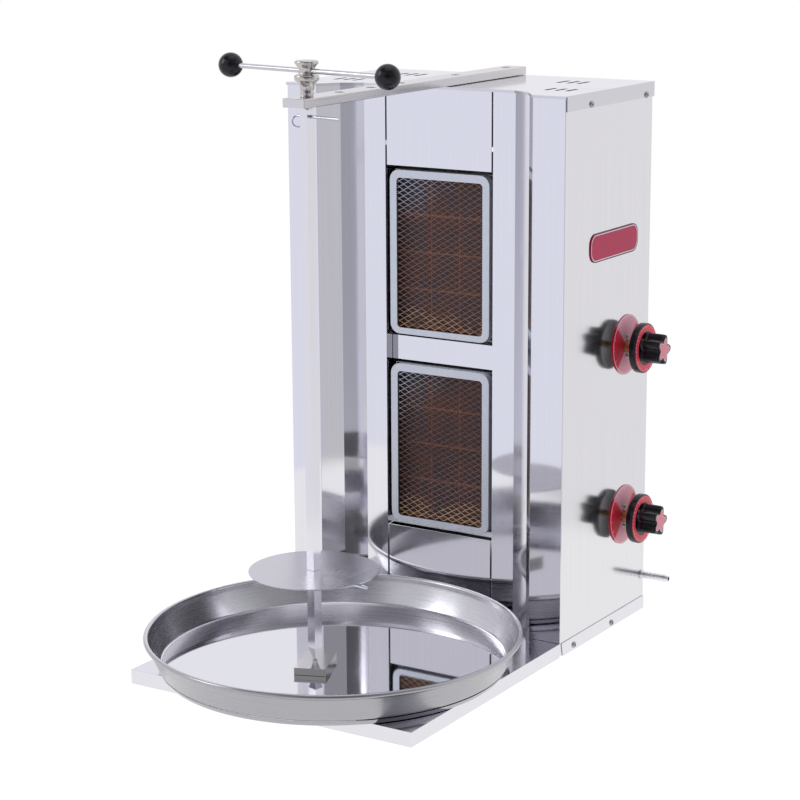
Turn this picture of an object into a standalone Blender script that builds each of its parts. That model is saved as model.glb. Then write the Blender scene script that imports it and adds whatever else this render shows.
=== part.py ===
"""Upright gas spit grill: two radiant burners in a sheet-steel casing, a hand-turned spit on a top arm,
a drip pan on the base tray, and two gas taps on the right side.

Metres, +Z up, the burners face -Y. The pieces are placed in the casing's own frame (x = 0 on the centre line,
y = 0 on the front plane of the wings, z = 0 on the table), which hangs on one empty. That empty is shifted so
that the world origin is the middle of the whole grill's footprint.
"""

import math

import bmesh
import bpy
from mathutils import Matrix, Vector

# ---------------------------------------------------------------- driving dimensions
GAP = 0.0003                 # clearance kept between neighbouring pieces
SHEET = 0.001                # casing sheet

BODY_HALF = 0.200            # casing, half width
BODY_DEPTH = 0.233
BODY_TOP = 0.700
PANEL_TOP = BODY_TOP - SHEET - GAP

TRAY_TOP = 0.020             # tray in front of the casing
TRAY_FRONT = -0.350
TRAY_TONGUE = 0.060          # how far the tray runs in under the front panels
SKIRT_BOTTOM = 0.0020        # folded edges end above the table, the rubber feet reach it
FLOOR_BOTTOM = 0.0025

CHEEK_X = 0.156              # front profile: wing, two facets, flat strip, flank
FACET_MID = (0.137, 0.026)
STRIP_OUTER_X = 0.110
LIP = 0.0015                 # how far the top cover stands out in front of the wings
RECESS_Y = 0.040
VENT_HALF = 0.0027           # half the width of a vent slot in the top cover
FLANK_X = 0.0785
FLANK_BACK = 0.056

BURNER_Z = {"lower": 0.2365, "upper": 0.487}
BURNER_W, BURNER_H = 0.146, 0.211
WINDOW_W, WINDOW_H, WINDOW_DROP = 0.126, 0.193, 0.001
FRAME_Y, FRAME_DEEP = 0.041, 0.012          # front face of the burner frame, and its depth
FRAME_SHEET = 0.0015
CERAMIC_Y = 0.0555
HOUSING_BACK = 0.095
MIX_Y, MIX_DROP = 0.080, 0.060   # mixing tube: its depth, and how far below the burner's middle

TAP = {"lower": (0.170, 0.145), "upper": (0.170, 0.3695)}  # y, z of each gas tap's axis
DIAL_R, DIAL_RISE = 0.0387, 0.0022                         # the dials sit a little above the taps' axes
KNOB_BACK, KNOB_FACE, KNOB_END = 0.2195, 0.2285, 0.254     # x of skirt back, skirt face, cap
SKIRT_R = 0.032
GRIP_R, GRIP_WAVE, GRIP_LOBES = 0.0165, 0.0037, 5
CAP_THICK = 0.0015
STEM_END = 0.236

INLET = (0.2265, 0.0505)     # y, z of the gas inlet
PIPE_X, PIPE_Y = 0.174, 0.215                              # the manifold stands here
INLET_END = 0.240

ARM_HALF, ARM_BOTTOM, ARM_TOP = 0.015, 0.7005, 0.7110
ARM_FRONT, ARM_BACK = -0.2745, 0.237
SPIT_Y = -0.247
SPIT_HOLE_PITCH, SPIT_HOLES = 0.067, 4      # the spit can stand in any of these holes
HOLE_R = 0.0062
ARM_BOLTS = (0.082, 0.210)
HANDLE_TURN = math.radians(-11.5)           # how the spit and its handle stand at rest

SPIT_SIDE = 0.012
SPIT_TIP_Z, SPIT_POINT = 0.0362, 0.0180
SPIT_SHOULDER, SPIT_TOP = 0.697, 0.727
JOURNAL_R = 0.0058
DISC_Z, DISC_R, DISC_THICK = 0.1495, 0.078, 0.0015
TOP_PIN_Z, TOP_PIN_R = 0.689, 0.0018
DISC_PIN_R = 0.002
DISC_PIN_Z = DISC_Z - GAP - DISC_PIN_R

HUB_TOP = 0.753
HANDLE_Z, HANDLE_R = 0.7405, 0.003
BALL_AT, BALL_R = 0.1275, 0.0145

PAN_Y, PAN_BASE_R, PAN_RIM_R, PAN_TOP = -0.207, 0.2115, 0.230, 0.065
PAN_FLOOR = 0.0285           # the pan's floor, held off the tray by a foot ring under its edge
PAN_SHEET, BEAD_R = 0.0012, 0.003
RING_R, RING_SHEET = 0.2095, 0.004

BLOCK_TOP, BLOCK_TURN = 0.0375, math.radians(22)
BLOCK_W, BLOCK_L = 0.039, 0.062

PLATE_Y, PLATE_Z = 0.1313, 0.5076          # name plate on the right side
PLATE_W, PLATE_H, PLATE_ROUND = 0.129, 0.036, 0.014
BADGE = 0.001                # thickness of the name plate and the dials

FOOT_R = 0.012
FOOT_X, FOOT_FRONT_Y, FOOT_REAR_Y = 0.180, -0.330, 0.212

# The world origin is the middle of the footprint: the knob's end, the pan's rim and the arm's back end bound it.
SHIFT_X = -(KNOB_END - PAN_RIM_R) / 2
SHIFT_Y = -(ARM_BACK + PAN_Y - PAN_RIM_R) / 2

ON_FRONT = (math.pi / 2, 0, 0)              # turns a flat outline to stand in a plane facing -Y
ON_SIDE = (math.pi / 2, 0, math.pi / 2)     # turns it to face +X, with its own X along Y


# ---------------------------------------------------------------- tools
def clear_scene():
    for thing in list(bpy.data.objects):
        bpy.data.objects.remove(thing, do_unlink=True)


def new_collection(name):
    made = bpy.data.collections.new(name)
    bpy.context.scene.collection.children.link(made)
    return made


def finish(name, colour, metallic, roughness):
    made = bpy.data.materials.new(name)
    made.use_nodes = True
    shader = made.node_tree.nodes["Principled BSDF"]
    shader.inputs["Base Color"].default_value = (*colour, 1)
    shader.inputs["Metallic"].default_value = metallic
    shader.inputs["Roughness"].default_value = roughness
    return made


def empty(name, parent, place=(0, 0, 0), turn=(0, 0, 0)):
    made = bpy.data.objects.new(name, None)
    PARTS.objects.link(made)
    made.parent = parent
    made.location = place
    made.rotation_euler = turn
    return made


def place(name, data, material, parent, at=(0, 0, 0), turn=(0, 0, 0)):
    """A named part from a mesh or curve, under its parent."""
    made = bpy.data.objects.new(name, data)
    PARTS.objects.link(made)
    made.parent = parent
    made.location = at
    made.rotation_euler = turn
    data.materials.clear()
    data.materials.append(material)
    return made


def mesh_from(name, build):
    """A mesh filled by build(bm)."""
    data = bpy.data.meshes.new(name)
    bm = bmesh.new()
    build(bm)
    bm.to_mesh(data)
    bm.free()
    return data


def box(name, low, high, material, parent):
    low, high = Vector(low), Vector(high)
    shape = Matrix.Diagonal((*(high - low), 1))
    data = mesh_from(name, lambda bm: bmesh.ops.create_cube(bm, size=1, matrix=shape))
    return place(name, data, material, parent, at=(low + high) / 2)


def rod(name, radius, start, end, material, parent, sides=24, tip_radius=None):
    """A cylinder, or a cone frustum, from start to end."""
    start, end = Vector(start), Vector(end)
    tip = radius if tip_radius is None else tip_radius

    def build(bm):
        bmesh.ops.create_cone(bm, cap_ends=True, segments=sides, radius1=radius, radius2=tip,
                              depth=(end - start).length)

    made = place(name, mesh_from(name, build), material, parent, at=(start + end) / 2)
    made.rotation_euler = (end - start).to_track_quat("Z", "Y").to_euler()
    return made


def turned(name, profile, material, parent, at=(0, 0, 0), turn=(0, 0, 0), steps=32):
    """A turned piece: profile points (radius, height) run from the top of the axis down the outside."""
    def build(bm):
        points = [bm.verts.new((radius, 0, height)) for radius, height in profile]
        for a, b in zip(points, points[1:]):
            bm.edges.new((a, b))

    made = place(name, mesh_from(name, build), material, parent, at=at, turn=turn)
    screw = made.modifiers.new("turn", "SCREW")
    screw.steps = steps
    screw.render_steps = steps
    screw.use_merge_vertices = True
    screw.merge_threshold = 0.00001
    return made


def outline(name, loops, thickness, material, parent, at=(0, 0, 0), turn=(0, 0, 0)):
    """A flat piece from closed 2D loops (the first is the outside, the others are holes), made a mesh."""
    flat = bpy.data.curves.new(name, "CURVE")
    flat.dimensions = "2D"
    flat.fill_mode = "BOTH"
    flat.extrude = thickness / 2
    for loop in loops:
        spline = flat.splines.new("POLY")
        spline.points.add(len(loop) - 1)
        for point, (x, y) in zip(spline.points, loop):
            point.co = (x, y, 0, 1)
        spline.use_cyclic_u = True
    curve = bpy.data.objects.new(name + "_outline", flat)
    PARTS.objects.link(curve)
    made = place(name, welded_mesh(curve, name), material, parent, at=at, turn=turn)
    bpy.data.objects.remove(curve, do_unlink=True)
    return made


def welded_mesh(source, name):
    """The evaluated mesh of an object with its loose caps joined to its sides."""
    bpy.context.view_layer.update()
    data = bpy.data.meshes.new_from_object(source.evaluated_get(bpy.context.evaluated_depsgraph_get()))
    data.name = name
    bm = bmesh.new()
    bm.from_mesh(data)
    bmesh.ops.remove_doubles(bm, verts=bm.verts, dist=0.000001)
    bmesh.ops.recalc_face_normals(bm, faces=bm.faces)
    bm.to_mesh(data)
    bm.free()
    return data


def bent_tube(name, points, radius, material, parent):
    """A round tube through points, on a smooth path."""
    path = smooth(points)
    data = bpy.data.curves.new(name, "CURVE")
    data.dimensions = "3D"
    data.bevel_depth = radius
    data.bevel_resolution = 2
    data.use_fill_caps = True
    spline = data.splines.new("POLY")
    spline.points.add(len(path) - 1)
    for point, where in zip(spline.points, path):
        point.co = (*where, 1)
    return place(name, data, material, parent)


def smooth(points, between=4):
    """Points of a Catmull-Rom curve through the given ones."""
    knots = [Vector(p) for p in (points[0], *points, points[-1])]
    path = []
    for a, b, c, d in zip(knots, knots[1:], knots[2:], knots[3:]):
        for i in range(between):
            t = i / between
            path.append(0.5 * (2 * b + (c - a) * t + (2 * a - 5 * b + 4 * c - d) * t ** 2
                               + (3 * b - a - 3 * c + d) * t ** 3))
    path.append(knots[-1])
    return path


def folded_sheet(name, line, low, high, material, parent, behind):
    """A sheet that follows a plan line [(x, y), ...] from z = low to high. behind is the side, +1 or -1, on
    which its thickness lies."""
    def build(bm):
        points = [bm.verts.new((x, y, low)) for x, y in line]
        edges = [bm.edges.new(pair) for pair in zip(points, points[1:])]
        raised = bmesh.ops.extrude_edge_only(bm, edges=edges)["geom"]
        moved = [item for item in raised if isinstance(item, bmesh.types.BMVert)]
        bmesh.ops.translate(bm, verts=moved, vec=(0, 0, high - low))

    made = place(name, mesh_from(name, build), material, parent)
    thicken(made, behind)
    return made


def open_box(name, low, high, open_sides, material, parent):
    """A box of sheet with the named sides missing; its size is the outside's."""
    low, high = Vector(low), Vector(high)

    def build(bm):
        bmesh.ops.create_cube(bm, size=1, matrix=Matrix.Diagonal((*(high - low), 1)))
        directions = {"left": (-1, 0, 0), "right": (1, 0, 0), "front": (0, -1, 0),
                      "back": (0, 1, 0), "bottom": (0, 0, -1), "top": (0, 0, 1)}
        away = [Vector(directions[side]) for side in open_sides]
        gone = [face for face in bm.faces if any(face.normal.dot(d) > 0.9 for d in away)]
        bmesh.ops.delete(bm, geom=gone, context="FACES")

    made = place(name, mesh_from(name, build), material, parent, at=(low + high) / 2)
    thicken(made, -1)
    return made


def thicken(thing, side):
    shell = thing.modifiers.new("sheet", "SOLIDIFY")
    shell.thickness = SHEET
    shell.offset = side
    shell.use_even_offset = True


def boolean(thing, operation, others):
    """Cuts the others out of a part, or joins them to it. They stay as hidden guides."""
    for other in others:
        if other.name in PARTS.objects:
            PARTS.objects.unlink(other)
            CUTTERS.objects.link(other)
        other.hide_render = True
        other.display_type = "WIRE"
        step = thing.modifiers.new(operation.lower(), "BOOLEAN")
        step.operation = operation
        step.object = other
    return thing


def cut(thing, *others):
    return boolean(thing, "DIFFERENCE", others)


def join(thing, *others):
    return boolean(thing, "UNION", others)


def rounded(width, height, radius, per_corner=5):
    """The corner points of a rounded rectangle about the origin, counter-clockwise."""
    points = []
    for quarter, (sx, sy) in enumerate(((1, 1), (-1, 1), (-1, -1), (1, -1))):
        for i in range(per_corner + 1):
            angle = math.pi / 2 * (quarter + i / per_corner)
            points.append((sx * (width / 2 - radius) + radius * math.cos(angle),
                           sy * (height / 2 - radius) + radius * math.sin(angle)))
    return points


def circle(radius, sides=32, x=0, y=0):
    angles = [2 * math.pi * i / sides for i in range(sides)]
    return [(x + radius * math.cos(a), y + radius * math.sin(a)) for a in angles]


# ---------------------------------------------------------------- casing
def front_line(side, out=0.0):
    """The casing's front profile on one side, from the outer corner to the flat strip; out moves it forward."""
    inward = 0.45 * out
    return [(side * BODY_HALF, -out), (side * (CHEEK_X - inward), -out),
            (side * (FACET_MID[0] - inward), FACET_MID[1] - out), (side * (STRIP_OUTER_X - inward), RECESS_Y - out)]


def make_tray(parent):
    """Folded tray: a top with edges turned down in front and at the sides, and a tongue under the casing."""
    tray = open_box("base_tray", (-BODY_HALF, TRAY_FRONT, SKIRT_BOTTOM), (BODY_HALF, 0, TRAY_TOP),
                    ("bottom", "back"), STEEL, parent)
    tongue_half = BODY_HALF - 2 * SHEET
    tongue = box("tray_tongue", (-tongue_half, -0.002, TRAY_TOP - SHEET), (tongue_half, TRAY_TONGUE, TRAY_TOP),
                 STEEL, parent)
    return join(tray, tongue)


def make_floor(parent):
    """Casing floor with sides turned up outside the side panels, their front ends cut on a slant."""
    half = BODY_HALF + GAP + SHEET
    floor = open_box("body_floor", (-half, 0.0025, FLOOR_BOTTOM), (half, BODY_DEPTH, TRAY_TOP),
                     ("top", "front", "back"), STEEL, parent)
    slant = box("floor_slant", (-half - 0.01, -0.006, -0.010), (half + 0.01, 0.006, 0.030), STEEL, parent)
    slant.rotation_euler = (math.radians(12), 0, 0)
    slant.location.y = -0.0012
    slant.location.z = 0.012
    return cut(floor, slant)


def make_side(name, side, parent):
    """Side panel with its back edge turned in, and on the right the holes for the taps and the gas inlet."""
    x = side * BODY_HALF
    line = [(x, SHEET + GAP), (x, BODY_DEPTH), (x - side * 0.014, BODY_DEPTH)]
    bottom = FLOOR_BOTTOM + SHEET + GAP
    panel = folded_sheet(name, line, bottom, PANEL_TOP, STEEL, parent, behind=side)
    if side > 0:
        holes = [(*TAP["lower"], 0.008), (*TAP["upper"], 0.008), (*INLET, 0.0043)]
        cut(panel, *(rod(f"panel_hole_{i}", radius, (x - 0.01, y, z), (x + 0.01, y, z), STEEL, parent)
                     for i, (y, z, radius) in enumerate(holes)))
    return panel


def make_reflector(name, side, parent):
    """Front wing, two polished facets, flat strip and the flank beside the burners, in one folded sheet."""
    line = front_line(side) + [(side * FLANK_X, RECESS_Y), (side * FLANK_X, FLANK_BACK)]
    return folded_sheet(name, line, TRAY_TOP + GAP, PANEL_TOP, STEEL, parent, behind=-side)


def make_centre_plates(parent):
    """The three plates that close the front between the reflectors, each with its free edge turned back."""
    half = 0.0765
    open_box("top_plate", (-half, RECESS_Y, 0.598), (half, RECESS_Y + 0.013, PANEL_TOP),
             ("back", "top", "left", "right"), STEEL, parent)
    open_box("lower_plate", (-half, RECESS_Y, TRAY_TOP + GAP), (half, RECESS_Y + 0.013, 0.1253),
             ("back", "bottom", "left", "right"), STEEL, parent)
    bridge_half = FLANK_X - 2 * GAP
    box("bridge_plate", (-bridge_half, 0.054, 0.345), (bridge_half, 0.055, 0.3765), STEEL, parent)


def make_back(parent):
    """Back panel, held inside the side panels' turned edges, with rows of air slots behind the burners."""
    half = BODY_HALF - SHEET - GAP
    y = BODY_DEPTH - SHEET - GAP
    panel = box("back_panel", (-half, y - SHEET, FLOOR_BOTTOM + SHEET + GAP), (half, y, PANEL_TOP), STEEL, parent)
    slots = []
    for row, z in enumerate((0.120, 0.240, 0.480, 0.600)):
        for column in (-0.105, -0.035, 0.035, 0.105):
            slots.append(box(f"back_slot_{row}_{column}", (column - 0.022, y - 0.01, z - 0.003),
                             (column + 0.022, y + 0.01, z + 0.003), STEEL, parent))
    return cut(panel, *slots)


def make_cover(parent):
    """Top cover: a plate cut to the front profile, with turned-down edges and four groups of vent slots."""
    half, back = BODY_HALF + GAP + SHEET, 0.236
    flange_bottom, hidden = 0.681, 0.0001

    def plan(half_width, lip, rear):
        right = [(half_width, -lip)] + front_line(1, lip)[1:]
        return right, [(-half_width, rear), (half_width, rear)]

    right, rear = plan(half, LIP, back)
    left = [(-x, y) for x, y in reversed(right)]
    cover = outline("top_cover", [right + left + rear], SHEET, STEEL, parent, at=(0, 0, BODY_TOP - SHEET / 2))
    outer, _ = plan(half - hidden, LIP - hidden, back)
    inner, _ = plan(half - hidden, LIP - hidden - 0.0008, back)
    front = outer + [(-x, y) for x, y in reversed(outer)]
    front += [(x, y) for x, y in ([(-x, y) for x, y in inner] + list(reversed(inner)))]
    edges = [outline("cover_lip", [front], 0.0032, STEEL, parent, at=(0, 0, BODY_TOP - 0.0002 - 0.0016))]
    for side in (-1, 1):
        ends = sorted((side * (half - hidden), side * (half - SHEET)))
        edges.append(box(f"cover_edge_{side}", (ends[0], 0.0025, flange_bottom),
                         (ends[1], back - hidden, BODY_TOP - 0.0002), STEEL, parent))
    edges.append(box("cover_edge_back", (-half + 0.0002, back - SHEET, flange_bottom),
                     (half - 0.0002, back - hidden, BODY_TOP - 0.0002), STEEL, parent))
    join(cover, *edges)
    cuts = []
    for side in (-1, 1):
        for row, (x, y, reach) in enumerate(((0.154, 0.074, 0.014), (0.120, 0.170, 0.016))):
            for i in (-1, 0, 1):
                middle = side * (x + i * 0.0145)
                cuts.append(box(f"vent_{side}_{row}_{i}", (middle - VENT_HALF, y - reach, BODY_TOP - 0.005),
                                (middle + VENT_HALF, y + reach, BODY_TOP + 0.005), STEEL, parent))
    cuts += [rod(f"cover_bolt_hole_{i}", 0.0033, (0, y, BODY_TOP - 0.01), (0, y, BODY_TOP + 0.01), STEEL, parent,
                 sides=12) for i, y in enumerate(ARM_BOLTS)]
    return cut(cover, *cuts)


# ---------------------------------------------------------------- burners
def make_burner(which, parent):
    """One radiant burner: frame, expanded-metal grille, tiled ceramic plate, housing, mixing tube, injector."""
    z = BURNER_Z[which]
    make_frame(which, z, parent)
    make_grille(which, z, parent)
    make_ceramic(which, z, parent)
    half_w = BURNER_W / 2 - 0.0005
    housing = open_box("burner_housing_" + which, (-half_w, FRAME_Y + FRAME_DEEP + GAP, z - 0.105),
                       (half_w, HOUSING_BACK, z + 0.105), ("front",), PRESSED, parent)
    mix_z = z - MIX_DROP
    cut(housing, rod("housing_hole_" + which, 0.0113, (0.06, MIX_Y, mix_z), (0.09, MIX_Y, mix_z), PRESSED, parent))
    tube = rod("mixing_tube_" + which, 0.011, (0.058, MIX_Y, mix_z), (0.134, MIX_Y, mix_z), PRESSED, parent)
    cut(tube, rod("mixing_bore_" + which, 0.0095, (0.05, MIX_Y, mix_z), (0.15, MIX_Y, mix_z), PRESSED, parent))
    rod("injector_" + which, 0.006, (0.138, MIX_Y, mix_z), (0.158, MIX_Y, mix_z), BRASS, parent, sides=6)


def make_frame(which, z, parent):
    """Pressed frame: a window with rounded corners, and walls that run back to the housing."""
    frame = outline("burner_frame_" + which, [rounded(BURNER_W, BURNER_H, 0.013)], FRAME_DEEP, ENAMEL, parent,
                    at=(0, FRAME_Y + FRAME_DEEP / 2, z), turn=ON_FRONT)
    inside = 2 * FRAME_SHEET
    pocket = outline("frame_pocket_" + which, [rounded(BURNER_W - inside, BURNER_H - inside, 0.012)], FRAME_DEEP,
                     ENAMEL, parent, at=(0, FRAME_Y + FRAME_SHEET + FRAME_DEEP / 2, z), turn=ON_FRONT)
    window = outline("frame_window_" + which, [rounded(WINDOW_W, WINDOW_H, 0.005)], 0.010, ENAMEL, parent,
                     at=(0, FRAME_Y, z - WINDOW_DROP), turn=ON_FRONT)
    return cut(frame, pocket, window)


def make_grille(which, z, parent):
    """Grille of diamond meshes, coarser than the real one, just behind the frame."""
    wide, tall, strand = 0.0260, 0.0150, 0.0022
    y = FRAME_Y + FRAME_SHEET + GAP
    half_w, half_h = WINDOW_W / 2 + 0.0035, WINDOW_H / 2 + 0.0035
    grille = box("burner_mesh_" + which, (-half_w, y, z - half_h), (half_w, y + 0.0012, z + half_h), COPPERED, parent)

    def build(bm):
        rows, columns = int(half_h / tall * 2) + 1, int(half_w / wide) + 1
        for row in range(-rows, rows + 1):
            for column in range(-columns, columns + 1):
                x, up = column * wide + wide / 2 * (row % 2), row * tall / 2
                if abs(x) > half_w - wide / 2 or abs(up) > half_h - tall / 2:
                    continue
                reach_x, reach_z = wide / 2 - strand, tall / 2 - strand * tall / wide
                corners = [(reach_x, 0), (0, reach_z), (-reach_x, 0), (0, -reach_z)]
                near, far = [[bm.verts.new((x + dx, depth, up + dz)) for dx, dz in corners]
                             for depth in (-0.005, 0.006)]
                bm.faces.new(near)
                bm.faces.new(far[::-1])
                for i in range(4):
                    bm.faces.new((near[i - 1], far[i - 1], far[i], near[i])[::-1])
        bmesh.ops.recalc_face_normals(bm, faces=bm.faces)

    return cut(grille, place("mesh_holes_" + which, mesh_from("mesh_holes", build), COPPERED, parent, at=(0, y, z)))


def make_ceramic(which, z, parent):
    """Ceramic plate, scored into three by four tiles."""
    half_w, half_h = 0.0708, 0.1033
    plate = box("ceramic_plate_" + which, (-half_w, CERAMIC_Y, z - half_h), (half_w, CERAMIC_Y + 0.010, z + half_h),
                CERAMIC, parent)
    groove = 0.0012
    lines = [box(f"groove_{which}_x{i}", (x - groove, CERAMIC_Y - 0.001, z - 0.12), (x + groove, CERAMIC_Y + groove,
                 z + 0.12), CERAMIC, parent) for i, x in enumerate((-0.021, 0.021))]
    lines += [box(f"groove_{which}_z{i}", (-0.08, CERAMIC_Y - 0.001, z + up - groove), (0.08, CERAMIC_Y + groove,
                  z + up + groove), CERAMIC, parent) for i, up in enumerate((-0.048, 0, 0.048))]
    return cut(plate, *lines)


# ---------------------------------------------------------------- gas line and taps
def make_tap(which, parent):
    """One gas tap: body and nose, plug pushed against its spring, stem, dial plate, knob, and the feed tube."""
    y, z = TAP[which]
    reach = 0.0115
    body = box("valve_body_" + which, (0.146, y - reach, z - reach), (0.1985, y + reach, z + reach), BRASS, parent)
    join(body, rod("valve_nose_" + which, 0.0078, (0.190, y, z), (0.212, y, z), BRASS, parent))
    cut(body, rod("plug_room_" + which, 0.0080, (0.140, y, z), (0.1760, y, z), BRASS, parent),
        rod("stem_bore_" + which, 0.0043, (0.170, y, z), (0.215, y, z), BRASS, parent))
    plug = rod("valve_plug_" + which, 0.0076, (0.1555, y, z), (0.1755, y, z), BRASS, parent)
    cut(plug, rod("plug_socket_" + which, 0.0043, (0.1655, y, z), (0.180, y, z), BRASS, parent))
    rod("valve_stem_" + which, 0.004, (0.1665, y, z), (STEM_END, y, z), BRASS, parent)
    outline("dial_plate_" + which, [circle(DIAL_R, 48, 0, DIAL_RISE), circle(0.0082, 20)], BADGE, RED, parent,
            at=(BODY_HALF + GAP + BADGE / 2, y, z), turn=ON_SIDE)
    make_knob(which, y, z, parent)
    make_feed(which, y - reach, z, parent)


def lobed(radius, wave, sides=50):
    """A star-like outline with soft lobes."""
    angles = [2 * math.pi * i / sides for i in range(sides)]
    return [((radius + wave * math.cos(GRIP_LOBES * a)) * math.cos(a),
             (radius + wave * math.cos(GRIP_LOBES * a)) * math.sin(a)) for a in angles]


def make_knob(which, y, z, parent):
    """Moulded knob: a skirt and a lobed grip in one, bored for the stem, with a printed cap on its end."""
    grip_end = KNOB_END - CAP_THICK - GAP
    knob = rod("knob_" + which, SKIRT_R, (KNOB_BACK, y, z), (KNOB_FACE, y, z), BAKELITE, parent, sides=48)
    grip_start = KNOB_FACE - 0.002
    grip = outline("grip_" + which, [lobed(GRIP_R, GRIP_WAVE)], grip_end - grip_start, BAKELITE, parent,
                   at=((grip_start + grip_end) / 2, y, z), turn=ON_SIDE)
    join(knob, grip)
    cut(knob, rod("knob_bore_" + which, 0.0043, (KNOB_BACK - 0.01, y, z), (STEM_END + GAP, y, z), BAKELITE, parent))
    outline("knob_cap_" + which, [lobed(GRIP_R - 0.0006, GRIP_WAVE)], CAP_THICK, RED, parent,
            at=(KNOB_END - CAP_THICK / 2, y, z), turn=ON_SIDE)


def make_feed(which, y, z, parent):
    """Copper feed tube from the injector to the tap's front face."""
    mix_z = BURNER_Z[which] - MIX_DROP
    start = Vector((0.159, MIX_Y, mix_z))
    end = Vector((0.168, y - 0.0008, z))
    points = [start, start + Vector((0.010, 0, 0)), (0.177, MIX_Y + 0.016, mix_z + (z - mix_z) * 0.25),
              (0.176, MIX_Y + 0.042, mix_z + (z - mix_z) * 0.8), end - Vector((0, 0.016, 0)), end]
    bent_tube("gas_tube_" + which, points, 0.003, COPPER, parent)


def make_manifold(parent):
    """Steel manifold pipe up the back corner with a stub to each tap and one to the inlet, and the hose nipple."""
    y, z = INLET
    x = PIPE_X
    pipe = rod("gas_manifold", 0.006, (x, PIPE_Y, z - 0.010), (x, PIPE_Y, TAP["upper"][1] + 0.012), PRESSED, parent)
    stubs = [rod("inlet_elbow", 0.0040, (x, PIPE_Y, z), (x + 0.0100, y - 0.0008, z), PRESSED, parent),
             rod("inlet_stub", 0.0039, (x + 0.0065, y, z), (BODY_HALF, y, z), PRESSED, parent)]
    for which, (tap_y, tap_z) in TAP.items():
        stubs.append(rod("tap_stub_" + which, 0.005, (x, PIPE_Y, tap_z), (x, tap_y + 0.0118, tap_z), PRESSED, parent))
    join(pipe, *stubs)
    start = BODY_HALF + GAP
    barbs = []
    for i in range(5):
        foot = 0.0065 + i * 0.0062
        barbs += [(0.0050, foot), (0.0040, foot + 0.0056)]
    length = INLET_END - start
    outside = [(0, 0), (0.0060, 0), (0.0060, 0.003), (0.0040, 0.0036)] + barbs + [(0.0040, length), (0, length)]
    turned("hose_nipple", outside[::-1], ZINC, parent, at=(start, y, z), turn=ON_SIDE, steps=20)


# ---------------------------------------------------------------- spit and arm
def make_arm(parent):
    """Flat bar over the casing, with a row of holes for the spit and two counterbored holes for its bolts."""
    arm = box("support_arm", (-ARM_HALF, ARM_FRONT, ARM_BOTTOM), (ARM_HALF, ARM_BACK, ARM_TOP), BAR_STEEL, parent)
    edges = arm.modifiers.new("broken edges", "BEVEL")
    edges.width = 0.0005
    edges.segments = 1
    holes = [rod(f"spit_hole_{i}", HOLE_R, (0, SPIT_Y + i * SPIT_HOLE_PITCH, ARM_BOTTOM - 0.01),
                 (0, SPIT_Y + i * SPIT_HOLE_PITCH, ARM_TOP + 0.01), BAR_STEEL, parent) for i in range(SPIT_HOLES)]
    seat = ARM_BOTTOM + 0.004
    for i, y in enumerate(ARM_BOLTS):
        holes.append(rod(f"bolt_hole_{i}", 0.0033, (0, y, ARM_BOTTOM - 0.01), (0, y, seat + 0.002), BAR_STEEL, parent,
                         sides=12))
        holes.append(rod(f"bolt_seat_{i}", HOLE_R, (0, y, seat), (0, y, ARM_TOP + 0.01), BAR_STEEL, parent))
        where = ("front", "rear")[i]
        head = seat + GAP
        turned("arm_bolt_" + where, [(0, head + 0.004), (0.0055, head + 0.004), (0.0055, head), (0.003, head),
                                     (0.003, BODY_TOP - 0.012), (0, BODY_TOP - 0.012)], BOLT_STEEL, parent,
               at=(0, y, 0), steps=12)
    return cut(arm, *holes)


def make_spit(parent):
    """Square bar with a pyramid point below and a round journal above, drilled across for its two pins."""
    half = SPIT_SIDE / 2
    point_top = SPIT_TIP_Z + SPIT_POINT
    bar = box("spit_rod", (-half, -half, point_top), (half, half, SPIT_SHOULDER), POLISHED, parent)
    corner = half * math.sqrt(2)
    point = rod("spit_point", corner, (0, 0, point_top + 0.0001), (0, 0, SPIT_TIP_Z), POLISHED, parent, sides=4,
                tip_radius=0.0007)
    point.rotation_euler = (math.pi, 0, math.pi / 4)
    journal = rod("spit_journal", JOURNAL_R, (0, 0, SPIT_SHOULDER - 0.001), (0, 0, SPIT_TOP), POLISHED, parent)
    join(bar, point, journal)
    cut(bar, rod("top_pin_hole", TOP_PIN_R + GAP, (-0.02, 0, TOP_PIN_Z), (0.02, 0, TOP_PIN_Z), POLISHED, parent,
                 sides=12),
        rod("disc_pin_hole", DISC_PIN_R + GAP, (-0.02, 0, DISC_PIN_Z), (0.02, 0, DISC_PIN_Z), POLISHED, parent,
            sides=12))


def make_disc(parent):
    """Meat disc with a square hole that slides on the bar, resting on a long cross pin."""
    side = SPIT_SIDE / 2 + 0.0004
    hole = [(side, -side), (side, side), (-side, side), (-side, -side)]
    outline("meat_disc", [circle(DISC_R, 64), hole], DISC_THICK, STEEL, parent,
            at=(0, 0, DISC_Z + DISC_THICK / 2))
    rod("disc_pin", DISC_PIN_R, (-0.030, 0, DISC_PIN_Z), (0.088, 0, DISC_PIN_Z), BOLT_STEEL, parent, sides=12)


def make_top_pin(parent):
    """Lock pin under the arm, with a pull ring that hangs from its left end."""
    ring_r, wire = 0.0065, 0.0009
    pin = rod("top_lock_pin", TOP_PIN_R, (-0.018, 0, TOP_PIN_Z), (0.052, 0, TOP_PIN_Z), BOLT_STEEL, parent, sides=12)
    bpy.ops.mesh.primitive_torus_add(major_segments=20, minor_segments=6, major_radius=ring_r, minor_radius=wire)
    ring = bpy.context.object
    data = ring.data
    bpy.data.objects.remove(ring, do_unlink=True)
    hung = place("pull_ring", data, BOLT_STEEL, parent, at=(-0.0155, 0, TOP_PIN_Z - ring_r),
                 turn=(math.pi / 2, 0, math.radians(55)))
    return join(pin, hung)


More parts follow.
